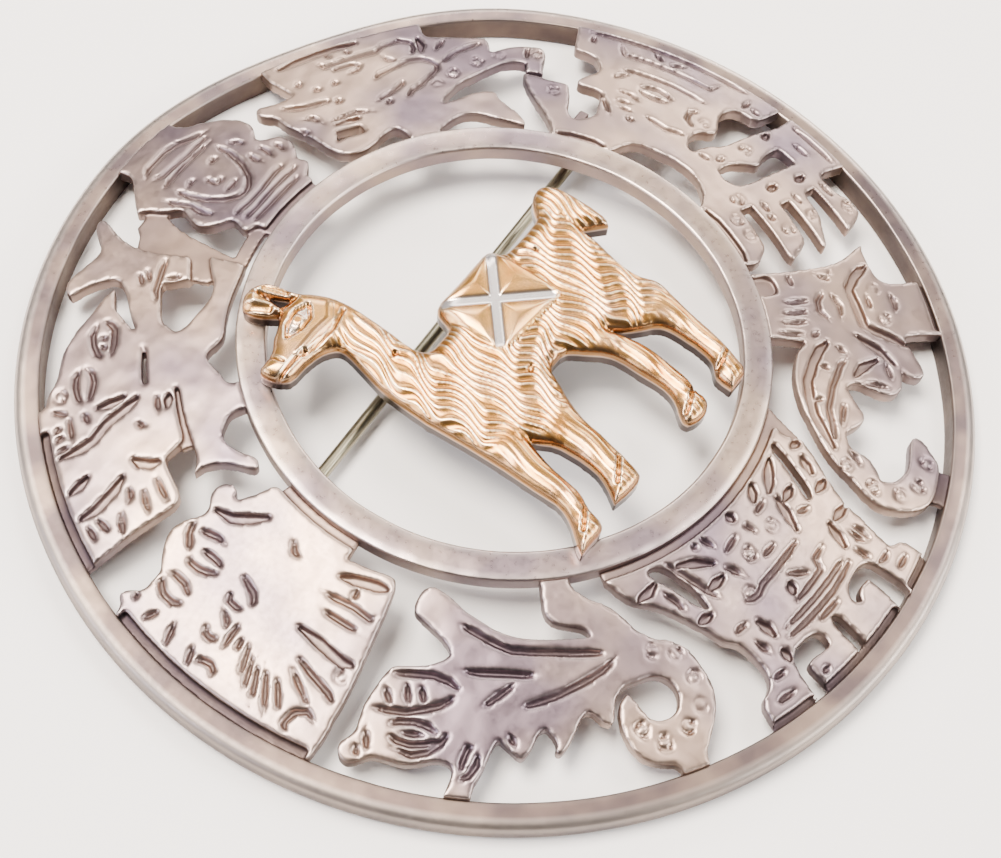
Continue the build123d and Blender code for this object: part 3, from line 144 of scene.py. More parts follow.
# %% [markdown]
# ## Worn sterling silver
#
# The frame is sterling silver, sawn from sheet, chased with punches and soldered. Polished
# silver is very white, but this one has been worn and put away for years: its face is a warm,
# pinkish grey satin, the grooves have gone brown-black, and the edges that rub on cloth stay
# bright. Each mesh carries two numbers for every point, one for its dark colour and one for its
# bright edges, measured from its own shape, and the material only reads them. The dark number is
# tarnish in the figures' grooves, and painted shade on the walls of the ring and the rim and on
# one side of the rim.

# %% Worn silver
SCRATCH_SPACING = 0.35
SCRATCH_DEPTH = 0.02
SCRATCH_STRENGTH = 0.12
DENT_SIZE = 2.2
TARNISH_ROUGHNESS = 0.3
STAIN_STOPS = (0.36, 0.5, 0.64)


def worn_silver(name, face, light, tarnish_and_shade, unevenness, roughness=0.34, stain_size=7.0):
    """Worn silver with a stained satin face, bright edges, and one dark colour for tarnished
    recesses and for painted shade.

    The face has three colours, from dark stain to clean metal. Sizes are in millimetres.
    """
    material = bpy.data.materials.new(name)
    material.use_nodes = True
    shader = material.node_tree.nodes["Principled BSDF"]
    place = add_node(material, "ShaderNodeTexCoord").outputs["Object"]
    stain = noise(material, place, stain_size, 2.0, 0.45)
    fine = noise(material, place, SCRATCH_SPACING, 4.0, 0.6)
    tarnish_and_shade_share = number_of(material, "tarnish_and_shade")
    colour = ramp(material, stain, list(zip(STAIN_STOPS, face)))
    colour = mix_colour(material, number_of(material, "edge"), colour, linear(light))
    # The dark colour is tarnish in the figures' grooves and painted shade on the ring's and the
    # rim's walls and on one side of the rim.
    colour = mix_colour(material, tarnish_and_shade_share, colour, linear(tarnish_and_shade))
    material.node_tree.links.new(colour, shader.inputs["Base Color"])
    shader.inputs["Metallic"].default_value = 1.0
    rough = add_node(material, "ShaderNodeMapRange",
                     {"From Min": 0.3, "From Max": 0.7, "To Min": roughness - 0.04,
                      "To Max": roughness + 0.05}, {"Value": fine}).outputs["Result"]
    rough = add_node(material, "ShaderNodeMath",
                     {"operation": "MULTIPLY_ADD", 1: TARNISH_ROUGHNESS},
                     {0: tarnish_and_shade_share, 2: rough}).outputs["Value"]
    material.node_tree.links.new(rough, shader.inputs["Roughness"])
    dents = noise(material, place, DENT_SIZE, 1.0)
    waves = add_node(material, "ShaderNodeBump", {"Strength": 1.0, "Distance": unevenness * MM},
                     {"Height": dents})
    bump = add_node(material, "ShaderNodeBump",
                    {"Strength": SCRATCH_STRENGTH, "Distance": SCRATCH_DEPTH * MM},
                    {"Height": fine, "Normal": waves.outputs["Normal"]})
    material.node_tree.links.new(bump.outputs["Normal"], shader.inputs["Normal"])
    return material


plate_silver = worn_silver(
    "worn_chased_silver", face=("#73656d", "#8f7d79", "#ad9586"), light="#eee1d9",
    tarnish_and_shade="#2a2123", unevenness=0.12)
ring_silver = worn_silver(
    "worn_ring_silver", face=("#8a7b80", "#a4918b", "#bba594"), light="#f3e8e0",
    tarnish_and_shade="#3c2f2d", unevenness=0.1, roughness=0.3, stain_size=5.0)
rim_silver = worn_silver(
    "worn_rim_silver", face=("#6c5f60", "#87756f", "#a18d80"), light="#eadfd6",
    tarnish_and_shade="#30261f", unevenness=0.06, roughness=0.3, stain_size=3.5)

# %% [markdown]
# ## Gilding over silver
#
# The llama is gilded: a skin of gold a few thousandths of a millimetre thick over cast silver.
# It is orange-brown in the hollows and pale where it is rubbed, and painted shade darkens it
# along the outline. The eye and the saddle's cross show bare silver, as `bare` says, and the side
# walls are tarnished silver, as `wall` says.

# %% Gilding
GILT_PATCH_SIZE = 2.5
GILT_ROUGHNESS = 0.27


def gilding(name):
    """Patchy gold, with bare and tarnished silver where the mesh says so."""
    material = bpy.data.materials.new(name)
    material.use_nodes = True
    shader = material.node_tree.nodes["Principled BSDF"]
    place = add_node(material, "ShaderNodeTexCoord").outputs["Object"]
    patches = noise(material, place, GILT_PATCH_SIZE, 3.0)
    gold = ramp(material, patches, [(0.32, "#c98b44"), (0.5, "#d9a45c"), (0.7, "#e2b182")])
    gold = mix_colour(material, number_of(material, "edge"), gold, linear("#fdeed2"))
    # The orange-brown is tarnish in the hollows and painted shade along the outline.
    gold = mix_colour(material, number_of(material, "tarnish_and_shade"), gold, linear("#7c4a1e"))
    wall_share = number_of(material, "wall")
    silver = mix_colour(material, wall_share, linear("#e9e3e1"), linear("#443b39"))
    colour = mix_colour(material, number_of(material, "bare"), gold, silver)
    material.node_tree.links.new(colour, shader.inputs["Base Color"])
    shader.inputs["Metallic"].default_value = 1.0
    shader.inputs["Roughness"].default_value = GILT_ROUGHNESS
    return material


gilt = gilding("gilding_over_silver")

# %% [markdown]
# ## Nickel silver pin wire
#
# The pin is hard drawn nickel silver wire, greyer and greener than the brooch, with a fine
# lengthwise grain from the drawplate.

# %% Pin wire
WIRE_GRAIN_SIZE = 0.15
WIRE_STRETCH = 0.08
WIRE_ROUGHNESS = 0.3
pin_wire = bpy.data.materials.new("drawn_nickel_silver")
pin_wire.use_nodes = True
wire_shader = pin_wire.node_tree.nodes["Principled BSDF"]
wire_place = add_node(pin_wire, "ShaderNodeTexCoord").outputs["Object"]
wire_stretched = add_node(pin_wire, "ShaderNodeMapping", {"Scale": (WIRE_STRETCH, 1.0, 1.0)},
                          {"Vector": wire_place}).outputs["Vector"]
wire_grain = noise(pin_wire, wire_stretched, WIRE_GRAIN_SIZE, 2.0)
wire_colour = ramp(pin_wire, wire_grain, [(0.3, "#77725f"), (0.6, "#948f7c")])
pin_wire.node_tree.links.new(wire_colour, wire_shader.inputs["Base Color"])
wire_shader.inputs["Metallic"].default_value = 1.0
wire_shader.inputs["Roughness"].default_value = WIRE_ROUGHNESS

# %% [markdown]
# ## From exact solids to worn metal
#
# A sawn and chased plate has no perfectly sharp edge. Blender can round thousands of small
# edges at once: rebuild the solid from tiny cubes (a voxel remesh), then let every point drift
# towards its neighbours a few times. The drift is done twice, inwards and back outwards, so that
# the metal doesn't shrink. All of this is done in millimetres, and the mesh is scaled at the end.

# %% Remeshing and smoothing helpers
DRIFT_IN = 0.5
DRIFT_OUT = 0.52


def placed(name, data):
    """A new object of the scene, made of a mesh, a lamp or a camera."""
    made = bpy.data.objects.new(name, data)
    bpy.context.scene.collection.objects.link(made)
    return made


def applied(piece):
    """The piece's mesh with its modifiers applied, as a new mesh."""
    shown = piece.evaluated_get(bpy.context.evaluated_depsgraph_get())
    mesh = bpy.data.meshes.new_from_object(shown)
    piece.modifiers.clear()
    piece.data = mesh
    return mesh


def remeshed(piece, voxel):
    """The piece's mesh rebuilt from cubes of a size in millimetres."""
    remesh = piece.modifiers.new("remesh", "REMESH")
    remesh.mode = "VOXEL"
    remesh.voxel_size = voxel
    remesh.adaptivity = 0.0
    return applied(piece)


def points_of(mesh):
    """The mesh's points as an array with one row a point."""
    values = np.empty(len(mesh.vertices) * 3)
    mesh.vertices.foreach_get("co", values)
    return values.reshape(-1, 3)


def set_points(mesh, points):
    """Moves the mesh's points to new places."""
    mesh.vertices.foreach_set("co", np.ascontiguousarray(points, dtype=np.float32).ravel())
    mesh.update()


def edges_of(mesh):
    """The mesh's edges as an array of pairs of point numbers."""
    pairs = np.empty(len(mesh.edges) * 2, dtype=np.int64)
    mesh.edges.foreach_get("vertices", pairs)
    return pairs.reshape(-1, 2)


def neighbour_mean(values, pairs, count):
    """Mean of the neighbours of every point, for an array with one row a point."""
    a, b = pairs[:, 0], pairs[:, 1]
    number = np.bincount(a, minlength=count) + np.bincount(b, minlength=count)
    out = np.empty_like(values)
    for column in range(values.shape[1]):
        total = np.bincount(a, weights=values[b, column], minlength=count)
        total += np.bincount(b, weights=values[a, column], minlength=count)
        out[:, column] = total / np.maximum(number, 1)
    return out


def neighbour_rounds(values, pairs, rounds):
    """Values spread to their neighbours a number of times."""
    for _ in range(rounds):
        values = 0.5 * values + 0.5 * neighbour_mean(values, pairs, len(values))
    return values


def soft_step(value, low, high):
    """0 under the low limit, 1 over the high one, and an S-shaped rise between them."""
    share = np.clip((value - low) / (high - low), 0, 1)
    return share * share * (3 - 2 * share)


def smoothed(points, pairs, rounds, keep_size=True):
    """Points drawn towards their neighbours, and pushed back again where the size is kept."""
    count = len(points)
    for _ in range(rounds):
        points = points + DRIFT_IN * (neighbour_mean(points, pairs, count) - points)
        if keep_size:
            points = points - DRIFT_OUT * (neighbour_mean(points, pairs, count) - points)
    return points


def normals_of(mesh):
    """The direction that the surface faces at every point."""
    values = np.empty(len(mesh.vertices) * 3)
    mesh.vertex_normals.foreach_get("vector", values)
    return values.reshape(-1, 3)


def wear(mesh, rounds):
    """Measures hollows and edges: how far each point lies under or over its smoothed place."""
    points = points_of(mesh)
    calm = smoothed(points, edges_of(mesh), rounds, keep_size=False)
    return np.einsum("ij,ij->i", points - calm, normals_of(mesh))


def wear_share(height, gain, start, most):
    """Turns what `wear` measures into a share of wear or tarnish, with a start and a limit."""
    return np.clip(height * gain - start, 0, most)


def dress(mesh, material, numbers):
    """Writes the numbers of every point, then gives the mesh its metal and its size in metres."""
    for name, values in numbers.items():
        layer = mesh.attributes.new(name, "FLOAT", "POINT")
        layer.data.foreach_set("value", np.ascontiguousarray(values, dtype=np.float32))
    mesh.polygons.foreach_set("use_smooth", np.ones(len(mesh.polygons), dtype=bool))
    mesh.transform(Matrix.Scale(MM, 4))
    mesh.materials.clear()
    mesh.materials.append(material)


# %% [markdown]
# ## The figures
#
# The ring and the rim get meshes of their own, so the figures are cut free of both: what lies
# between a cylinder at the ring's outside and a wall at the rim's inside stays. The real rim is
# a little out of round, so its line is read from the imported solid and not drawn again.

# %% Read the rim's line
RIM_WALL_FROM = 28.9
RIM_WALL_BOTTOM = 0.55
RIM_WALL_TOP = 1.25
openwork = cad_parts["openwork"]
cad_points = points_of(openwork.data) / MM
cad_radius = np.hypot(cad_points[:, 0], cad_points[:, 1])
outer_wall = ((cad_radius > RIM_WALL_FROM)
              & (cad_points[:, 2] > RIM_WALL_BOTTOM) & (cad_points[:, 2] < RIM_WALL_TOP))
wall_angle = np.arctan2(cad_points[outer_wall, 1], cad_points[outer_wall, 0])
wall_order = np.argsort(wall_angle)
wall_angle = wall_angle[wall_order]
wall_radius = cad_radius[outer_wall][wall_order]


def rim_radius(angle):
    """Outer radius of the rim at an angle in radians."""
    return np.interp(angle, wall_angle, wall_radius, period=2 * math.pi)


print("rim radius", round(float(wall_radius.min()), 3),
      "to", round(float(wall_radius.max()), 3), "mm")

# %% Cut the figures free
CUT_STEPS = 720
CUT_GAP = 0.02
CUT_BOTTOM = -1.0
CUT_TOP = 6.0
WELD_DISTANCE = 1e-5
turn = np.linspace(0, 2 * math.pi, CUT_STEPS, endpoint=False)


def swept_ring(name, profiles):
    """A closed mesh swept round the axis; profiles is (steps, points, 2) of radius and height."""
    steps, count, _ = profiles.shape
    angle = np.linspace(0, 2 * math.pi, steps, endpoint=False)[:, None]
    x = profiles[:, :, 0] * np.cos(angle)
    y = profiles[:, :, 0] * np.sin(angle)
    corners = np.stack([x, y, profiles[:, :, 1]], axis=2).reshape(-1, 3)
    step, point = np.meshgrid(np.arange(steps), np.arange(count), indexing="ij")
    next_step, next_point = (step + 1) % steps, (point + 1) % count
    faces = np.stack([step * count + point, next_step * count + point,
                      next_step * count + next_point, step * count + next_point], axis=2)
    mesh = bpy.data.meshes.new(name)
    mesh.from_pydata(corners.tolist(), [], faces.reshape(-1, 4).tolist())
    mesh.update()
    return mesh


inner_wall = np.full(CUT_STEPS, RING_OUTER + CUT_GAP)
outer_side = rim_radius(turn) - RIM_WIDTH - CUT_GAP
cutter_corners = [(inner_wall, CUT_BOTTOM), (outer_side, CUT_BOTTOM),
                  (outer_side, CUT_TOP), (inner_wall, CUT_TOP)]
cutter_profiles = np.stack([np.stack([side, np.full(CUT_STEPS, level)], axis=1)
                            for side, level in cutter_corners], axis=1)
cutter = placed("cutter", swept_ring("cutter", cutter_profiles))

plates_mesh = openwork.data.copy()
plates_mesh.transform(Matrix.Scale(1 / MM, 4))
welder = bmesh.new()
welder.from_mesh(plates_mesh)
bmesh.ops.remove_doubles(welder, verts=welder.verts, dist=WELD_DISTANCE)
welder.to_mesh(plates_mesh)
welder.free()
plates = placed("plates", plates_mesh)
cut = plates.modifiers.new("cut", "BOOLEAN")
cut.operation = "INTERSECT"
cut.object = cutter
cut.solver = "MANIFOLD"
cut_mesh = applied(plates)
print("plates cut free:", len(cut_mesh.vertices), "points")
bpy.data.objects.remove(cutter)

# %% [markdown]
# Separate figures come apart by themselves once the ring and rim are gone. Each loose part is
# remeshed and softened on its own, so no piece gets too heavy.
#
# The metal's depth under the plate's face then tells what it is. The face itself is pillowed: it
# sinks a little towards its edges. The shallow grooves get a deeper middle, like the V that a
# punch leaves. All carved metal is tarnished, most where it is narrow, and carved metal beside
# the rim is made as dark as the narrowest grooves.

# %% Split into loose parts
VOXEL = 0.111
MIN_PART_POINTS = 20


def loose_parts(mesh):
    """One label for each point, which it shares with all the points that edges join it to."""
    label = np.arange(len(mesh.vertices))
    pairs = edges_of(mesh)
    while True:
        low = np.minimum(label[pairs[:, 0]], label[pairs[:, 1]])
        fresh = label.copy()
        np.minimum.at(fresh, pairs[:, 0], low)
        np.minimum.at(fresh, pairs[:, 1], low)
        fresh = fresh[fresh]
        if np.array_equal(fresh, label):
            return label
        label = fresh


def part_of(mesh, name, labels, label):
    """A mesh of the points with one label."""
    part = bmesh.new()
    part.from_mesh(mesh)
    part.verts.ensure_lookup_table()
    others = [v for v in part.verts if labels[v.index] != label]
    bmesh.ops.delete(part, geom=others, context="VERTS")
    part_mesh = bpy.data.meshes.new(name)
    part.to_mesh(part_mesh)
    part.free()
    return part_mesh


# %% Soften and tarnish the figures
# The pairs are limits for soft_step. Depths are in millimetres under the plate's face and radii
# in millimetres from the middle. The others are shares from 0 to 1.
SHARP_ROUNDS = 2
SOFT_ROUNDS = 1
WEAR_ROUNDS = 6
CARVED_DEPTHS = (0.05, 0.2)
FACE_DEPTHS = (0.04, 0.14)
PILLOW_ROUNDS = 8
PILLOW_DEPTH = 0.1
GROOVE_TOP_DEPTHS = (0.12, 0.18)
GROOVE_FLOOR_DEPTHS = (0.32, 0.4)
GROOVE_FACING = (0.3, 0.7)
WEDGE_DEPTH = 0.06
WEDGE_SPREAD = (0.3, 0.6)
NARROW_SPREAD = (0.01, 0.12)
WIDE_TARNISH = 0.5
LEDGE_RADII = (27.2, 27.6)
WALL_TARNISH = 0.5
FLOOR_TARNISH = 0.25
EDGE_GAIN = 10
HOLLOW_GAIN = 12
WEAR_START = 0.12
WEAR_MOST = 0.8
BRIGHT_DEPTH = 0.25


def shape_figure(mesh):
    """Softens a remeshed part; returns each point's radius, depth and share of face near it."""
    pairs = edges_of(mesh)
    points = smoothed(points_of(mesh), pairs, SHARP_ROUNDS)
    radius = np.hypot(points[:, 0], points[:, 1])
    depth = plate_top(radius) - points[:, 2]
    face = 1 - soft_step(depth, *FACE_DEPTHS)
    spread = neighbour_rounds(face[:, None], pairs, PILLOW_ROUNDS)[:, 0]
    groove = soft_step(depth, *GROOVE_TOP_DEPTHS) * (1 - soft_step(depth, *GROOVE_FLOOR_DEPTHS))
    groove *= soft_step(normals_of(mesh)[:, 2], *GROOVE_FACING)
    points[:, 2] -= PILLOW_DEPTH * (1 - spread) * face
    points[:, 2] -= WEDGE_DEPTH * (1 - soft_step(spread, *WEDGE_SPREAD)) * groove
    set_points(mesh, smoothed(points, pairs, SOFT_ROUNDS, keep_size=False))
    return radius, depth, spread


def tarnish_figure(mesh, radius, first_depth, spread):
    """How far a figure's recesses are tarnished and how its edges shine, for every point. Beside
    the rim the carved metal is as dark as the narrowest grooves.
    """
    above = wear(mesh, WEAR_ROUNDS)
    depth = plate_top(radius) - points_of(mesh)[:, 2]
    face_up = np.clip(normals_of(mesh)[:, 2], 0, 1)
    narrow = WIDE_TARNISH + (1 - WIDE_TARNISH) * soft_step(spread, *NARROW_SPREAD)
    narrow = np.maximum(narrow, soft_step(radius, *LEDGE_RADII))
    tarnish_and_shade_share = soft_step(first_depth, *CARVED_DEPTHS) * (WALL_TARNISH + FLOOR_TARNISH * face_up)
    tarnish_and_shade_share = tarnish_and_shade_share * narrow * (1 - wear_share(above, EDGE_GAIN, 0, 1))
    tarnish_and_shade_share = np.maximum(tarnish_and_shade_share, wear_share(-above, HOLLOW_GAIN, WEAR_START, WEAR_MOST))
    bright = wear_share(above, EDGE_GAIN, WEAR_START, WEAR_MOST)
    return {"tarnish_and_shade": tarnish_and_shade_share, "edge": bright * np.clip(1 - depth / BRIGHT_DEPTH, 0, 1)}


labels = loose_parts(cut_mesh)
part_labels, part_sizes = np.unique(labels, return_counts=True)
by_size = sorted(zip(part_labels, part_sizes), key=lambda row: -row[1])
for index, (label, size) in enumerate(by_size):
    if size < MIN_PART_POINTS:
        continue
    name = f"figures_{index + 1}"
    piece = placed(name, part_of(cut_mesh, name, labels, label))
    mesh = remeshed(piece, VOXEL)
    radius, depth, spread = shape_figure(mesh)
    centre = points_of(mesh).mean(axis=0)
    dress(mesh, plate_silver, tarnish_figure(mesh, radius, depth, spread))
    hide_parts("openwork")
    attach(piece, "brooch")
    print(piece.name, len(mesh.polygons) * 2, "triangles, centre", centre.round(1))
bpy.data.objects.remove(plates)

# %% [markdown]
# ## Ring and rim
#
# Both are hand-filed: a rounded bar bent to a hoop. A sweep round the axis gives the shape, and
# slow waves of a few hundredths of a millimetre take the lathe-like perfection away.

# %% Profiles with rounded corners
CORNER_STEPS = 5
SIDE_STEPS = 4
LONG_SIDE = 0.3
WAVE_COUNTS = (3, 5, 8, 13, 21, 34)


def rounded_bar(inner, outer, bottom, top, radii, crown=0.0):
    """Radius and height points round a bar; radii are for its four corners from inner bottom."""
    corners = [(inner, bottom, 1, 1, 180), (outer, bottom, -1, 1, 270),
               (outer, top, -1, -1, 0), (inner, top, 1, -1, 90)]
    line = []
    for (x, z, side_x, side_z, start), radius in zip(corners, radii):
        for step in range(CORNER_STEPS + 1):
            angle = math.radians(start + 90 * step / CORNER_STEPS)
            line.append((x + side_x * radius + radius * math.cos(angle),
                         z + side_z * radius + radius * math.sin(angle)))
    full = []
    for here, there in zip(line, line[1:] + line[:1]):
        full.append(here)
        if math.dist(here, there) > LONG_SIDE:
            for step in range(1, SIDE_STEPS):
                share = step / SIDE_STEPS
                full.append((here[0] + (there[0] - here[0]) * share,
                             here[1] + (there[1] - here[1]) * share))
    half = (outer - inner) / 2
    middle = (outer + inner) / 2
    crowned = []
    for x, z in full:
        rise = crown * (1 - ((x - middle) / half) ** 2) if z > (top + bottom) / 2 else 0
        crowned.append((x, z + rise))
    return np.array(crowned)


def slow_waves(angle, seed, size):
    """A gentle, repeatable waviness round a hoop."""
    rng = np.random.default_rng(seed)
    total = np.zeros_like(angle)
    for count in WAVE_COUNTS:
        strength = rng.uniform(0.3, 1.0) / math.sqrt(count)
        total += strength * np.sin(count * angle + rng.uniform(0, 6.28))
    return total * size


# %% Hoops
HOOP_STEPS = 800
HOOP_WEAR_ROUNDS = 8
HOOP_GAIN = 12
HOOP_MOST = 0.6
SIDE_FROM = 0.95
SIDE_RANGE = (0, 0.8)
# Painted shade darkens the hoops towards this side, and this spread of the cosine sets how far
# round it reaches.
SHADED_SIDE = math.radians(205)
SHADED_SIDE_SPREAD = (-0.2, 0.9)


def hoop(name, profiles, material, side_shade, dark_side_shade=0.0):
    """A silver hoop, with painted shade on its walls and on one whole side of the hoop."""
    mesh = swept_ring(name, profiles)
    points = points_of(mesh)
    # Painted shade: the walls are darker than the top, and one side of the hoop is darker than
    # the other.
    angle = np.arctan2(points[:, 1], points[:, 0]) - SHADED_SIDE
    shade = soft_step(SIDE_FROM - normals_of(mesh)[:, 2], *SIDE_RANGE) * side_shade
    shade = np.maximum(shade, dark_side_shade * soft_step(np.cos(angle), *SHADED_SIDE_SPREAD))
    bright = wear_share(wear(mesh, HOOP_WEAR_ROUNDS), HOOP_GAIN, WEAR_START, HOOP_MOST)
    dress(mesh, material, {"tarnish_and_shade": shade, "edge": bright})
    piece = placed(name, mesh)
    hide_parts("openwork")
    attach(piece, "brooch")
    print(name, len(mesh.polygons) * 2, "triangles")


# %% Ring and rim
OVERLAP = 0.06
RING_CROWN = 0.03
RING_CORNERS = (0.1, 0.1, 0.14, 0.2)
RING_WAVES = 0.03
RING_SEED = 3
RIM_LOWERED = 0.01
RIM_CORNERS = (0.1, 0.55, 0.6, 0.16)
RIM_WAVES = 0.035
RIM_SEED = 5
hoop_turn = np.linspace(0, 2 * math.pi, HOOP_STEPS, endpoint=False)
ring_bar = rounded_bar(RING_INNER, RING_OUTER + OVERLAP, RING_BOTTOM, RING_TOP - RING_CROWN,
                       RING_CORNERS, crown=RING_CROWN)
ring_profiles = np.repeat(ring_bar[None], HOOP_STEPS, axis=0)
ring_profiles[:, :, 0] += slow_waves(hoop_turn, RING_SEED, RING_WAVES)[:, None]
hoop("inner_ring", ring_profiles, ring_silver, side_shade=0.45)

rim_bar = rounded_bar(-RIM_WIDTH - OVERLAP, 0.0, 0.0, RIM_HEIGHT - RIM_LOWERED, RIM_CORNERS)
rim_profiles = np.repeat(rim_bar[None], HOOP_STEPS, axis=0)
inner_side = rim_bar[:, 0] < -RIM_WIDTH / 2
rim_profiles[:, inner_side, 0] += slow_waves(hoop_turn, RIM_SEED, RIM_WAVES)[:, None]
rim_profiles[:, :, 0] += rim_radius(hoop_turn)[:, None]
# The rim gets painted shade on one whole side as well as on its walls.
hoop("rim", rim_profiles, rim_silver, side_shade=0.7, dark_side_shade=0.5)

# %% [markdown]
# ## The llama
#
# The llama is a small casting with a half-round, modelled front. Its outline comes from the
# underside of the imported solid. A height map then does what the modeller's tools did: it rounds
# the edges, combs the fleece into waves, and raises the saddle cloth's four cushions.

# %% Outline of the llama
FLOOR_TOLERANCE = 1e-3
llama_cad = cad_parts["llama"]
llama_points = points_of(llama_cad.data) / MM
llama_floor = llama_points[:, 2].min()
outline_tool = bmesh.new()
outline_tool.from_mesh(llama_cad.data)
bmesh.ops.remove_doubles(outline_tool, verts=outline_tool.verts, dist=WELD_DISTANCE * MM)
underside = [f for f in outline_tool.faces
             if all(abs(v.co.z / MM - llama_floor) < FLOOR_TOLERANCE for v in f.verts)]
underside_set = set(underside)
border = []
for face in underside:
    for edge in face.edges:
        if sum(1 for f in edge.link_faces if f in underside_set) == 1:
            border.append([(v.co.x / MM, v.co.y / MM) for v in edge.verts])
border = np.array(border)
upper = bmesh.ops.extrude_face_region(outline_tool, geom=underside, use_keep_orig=True)
lifted = [g for g in upper["geom"] if isinstance(g, bmesh.types.BMVert)]
bmesh.ops.translate(outline_tool, verts=lifted, vec=(0, 0, LLAMA_THICKNESS * MM))
keep = {v for f in underside for v in f.verts} | set(lifted)
spare = [v for v in outline_tool.verts if v not in keep]
bmesh.ops.delete(outline_tool, geom=spare, context="VERTS")
bmesh.ops.recalc_face_normals(outline_tool, faces=outline_tool.faces)
llama_mesh = bpy.data.meshes.new("llama_relief")
outline_tool.to_mesh(llama_mesh)
outline_tool.free()
llama_mesh.transform(Matrix.Scale(1 / MM, 4))
print("llama outline:", len(border), "edges, underside at", round(float(llama_floor), 3), "mm")

# %% Remesh the llama
LLAMA_VOXEL = 0.091
LLAMA_ROUNDS = 3
llama = placed("llama_relief", llama_mesh)
mesh = remeshed(llama, LLAMA_VOXEL)
points = smoothed(points_of(mesh), edges_of(mesh), LLAMA_ROUNDS)
print("llama mesh:", len(mesh.polygons) * 2, "triangles")

# %% [markdown]
# The height map is plain arithmetic on the points' x and y. `distance_to` measures how far a
# point is from a set of line segments, and everything else is made of soft steps of distances.

# %% Helpers of the height map
def line_of(corners, closed=False):
    """The segments that join corners one after another."""
    return list(zip(corners, corners[1:] + corners[:1] if closed else corners[1:]))


def distance_to(xy, segments):
    """Shortest distance from every point to any of the segments."""
    best = np.full(len(xy), 1e9)
    for (ax, ay), (bx, by) in segments:
        dx, dy = bx - ax, by - ay
        along = ((xy[:, 0] - ax) * dx + (xy[:, 1] - ay) * dy) / max(dx * dx + dy * dy, 1e-12)
        along = np.clip(along, 0, 1)
        best = np.minimum(best, np.hypot(xy[:, 0] - ax - along * dx, xy[:, 1] - ay - along * dy))
    return best


def inside_polygon(xy, outline):
    """True for the points inside a closed line of segments: each crossing to a side flips it."""
    inside = np.zeros(len(xy), dtype=bool)
    for (ax, ay), (bx, by) in outline:
        crosses = (ay > xy[:, 1]) != (by > xy[:, 1])
        with np.errstate(divide="ignore", invalid="ignore"):
            at = ax + (xy[:, 1] - ay) * (bx - ax) / (by - ay if by != ay else 1e-9)
        inside ^= crosses & (xy[:, 0] < at)
    return inside


def comb(strand):
    """Rows of thin ridges from 0 to 1, one for each whole number of the strand."""
    return 1 - np.abs(np.sin(math.pi * strand)) ** COMB_SHARPNESS


# %% Rounded body and saddle cloth
WALL_SHARE = 0.56
ROUNDING = 1.05
SADDLE = line_of([(-1.9, 4.0), (-1.4, 4.2), (0.8, 4.05), (3.5, 3.95), (3.9, 3.6), (3.7, -0.5),
                  (3.3, -1.7), (1.0, -1.45), (-1.7, -1.1), (-2.3, -0.5), (-2.15, 2.0)],
                 closed=True)
SADDLE_HEM = (0.0, 0.3)
CROSS = [((-1.3, 3.8), (3.0, -1.2)), ((3.5, 3.6), (-2.0, -0.6))]
CROSS_SIDE = (0.27, 0.36)
CUSHION_FROM = 0.3
CUSHION_WIDTH = 0.95
xy = points[:, :2]
x, y = xy[:, 0], xy[:, 1]
edge_distance = distance_to(xy, border)
rounded = np.clip(edge_distance / ROUNDING, 0, 1)
relief = WALL_SHARE + (1 - WALL_SHARE) * np.sqrt(1 - (1 - rounded) ** 2)

hem_distance = distance_to(xy, SADDLE)
cross_distance = distance_to(xy, CROSS)
saddle = np.where(inside_polygon(xy, SADDLE), soft_step(hem_distance, *SADDLE_HEM), 0)
cushion = np.clip(np.minimum(cross_distance - CUSHION_FROM, hem_distance) / CUSHION_WIDTH, 0, 1)
cushion = np.sin(0.5 * math.pi * cushion)
cross_cut = 1 - soft_step(cross_distance, *CROSS_SIDE)

# %% [markdown]
# The fleece is combed into strands that swing from side to side as they run down. One set of
# slow waves makes the swing uneven, another makes the strands crowd and part. Their factors are a
# matter of taste: each says how fast a wave runs along x and y, and the last number shifts it.
# The legs and the tail have straighter hair of their own. The limits of x and y are places on
# the animal in millimetres, such as the height where its neck ends and its head begins.

# %% Fleece, tail and legs
COMB_SHARPNESS = 0.8
FLEECE_PITCH = 0.5
FLEECE_WAVE = 2.9
FLEECE_SWING = 0.3
LEG_PITCH = 0.42
CREST_SLANT = 0.62
NECK_LEAN = 0.27
BELLY_LEAN = 0.1
LEG_TOPS = [(-6.2, -4.0), (-1.0, -6.0), (3.3, -5.4)]
LAST_LEG_TOP = -6.9
leg_line = np.select([x < limit for limit, _ in LEG_TOPS], [top for _, top in LEG_TOPS],
                     LAST_LEG_TOP)
fleece = soft_step(y, leg_line - 0.5, leg_line + 0.9) * (1 - soft_step(y, 7.3, 8.3))
tail = soft_step(x, 8.3, 9.0) * soft_step(y, -1.6, -1.0)
fleece = fleece * (1 - tail) * (1 - soft_step(saddle, 0.0, 0.1))
leg = (1 - soft_step(y, leg_line - 1.0, leg_line + 0.4)) * (1 - tail)

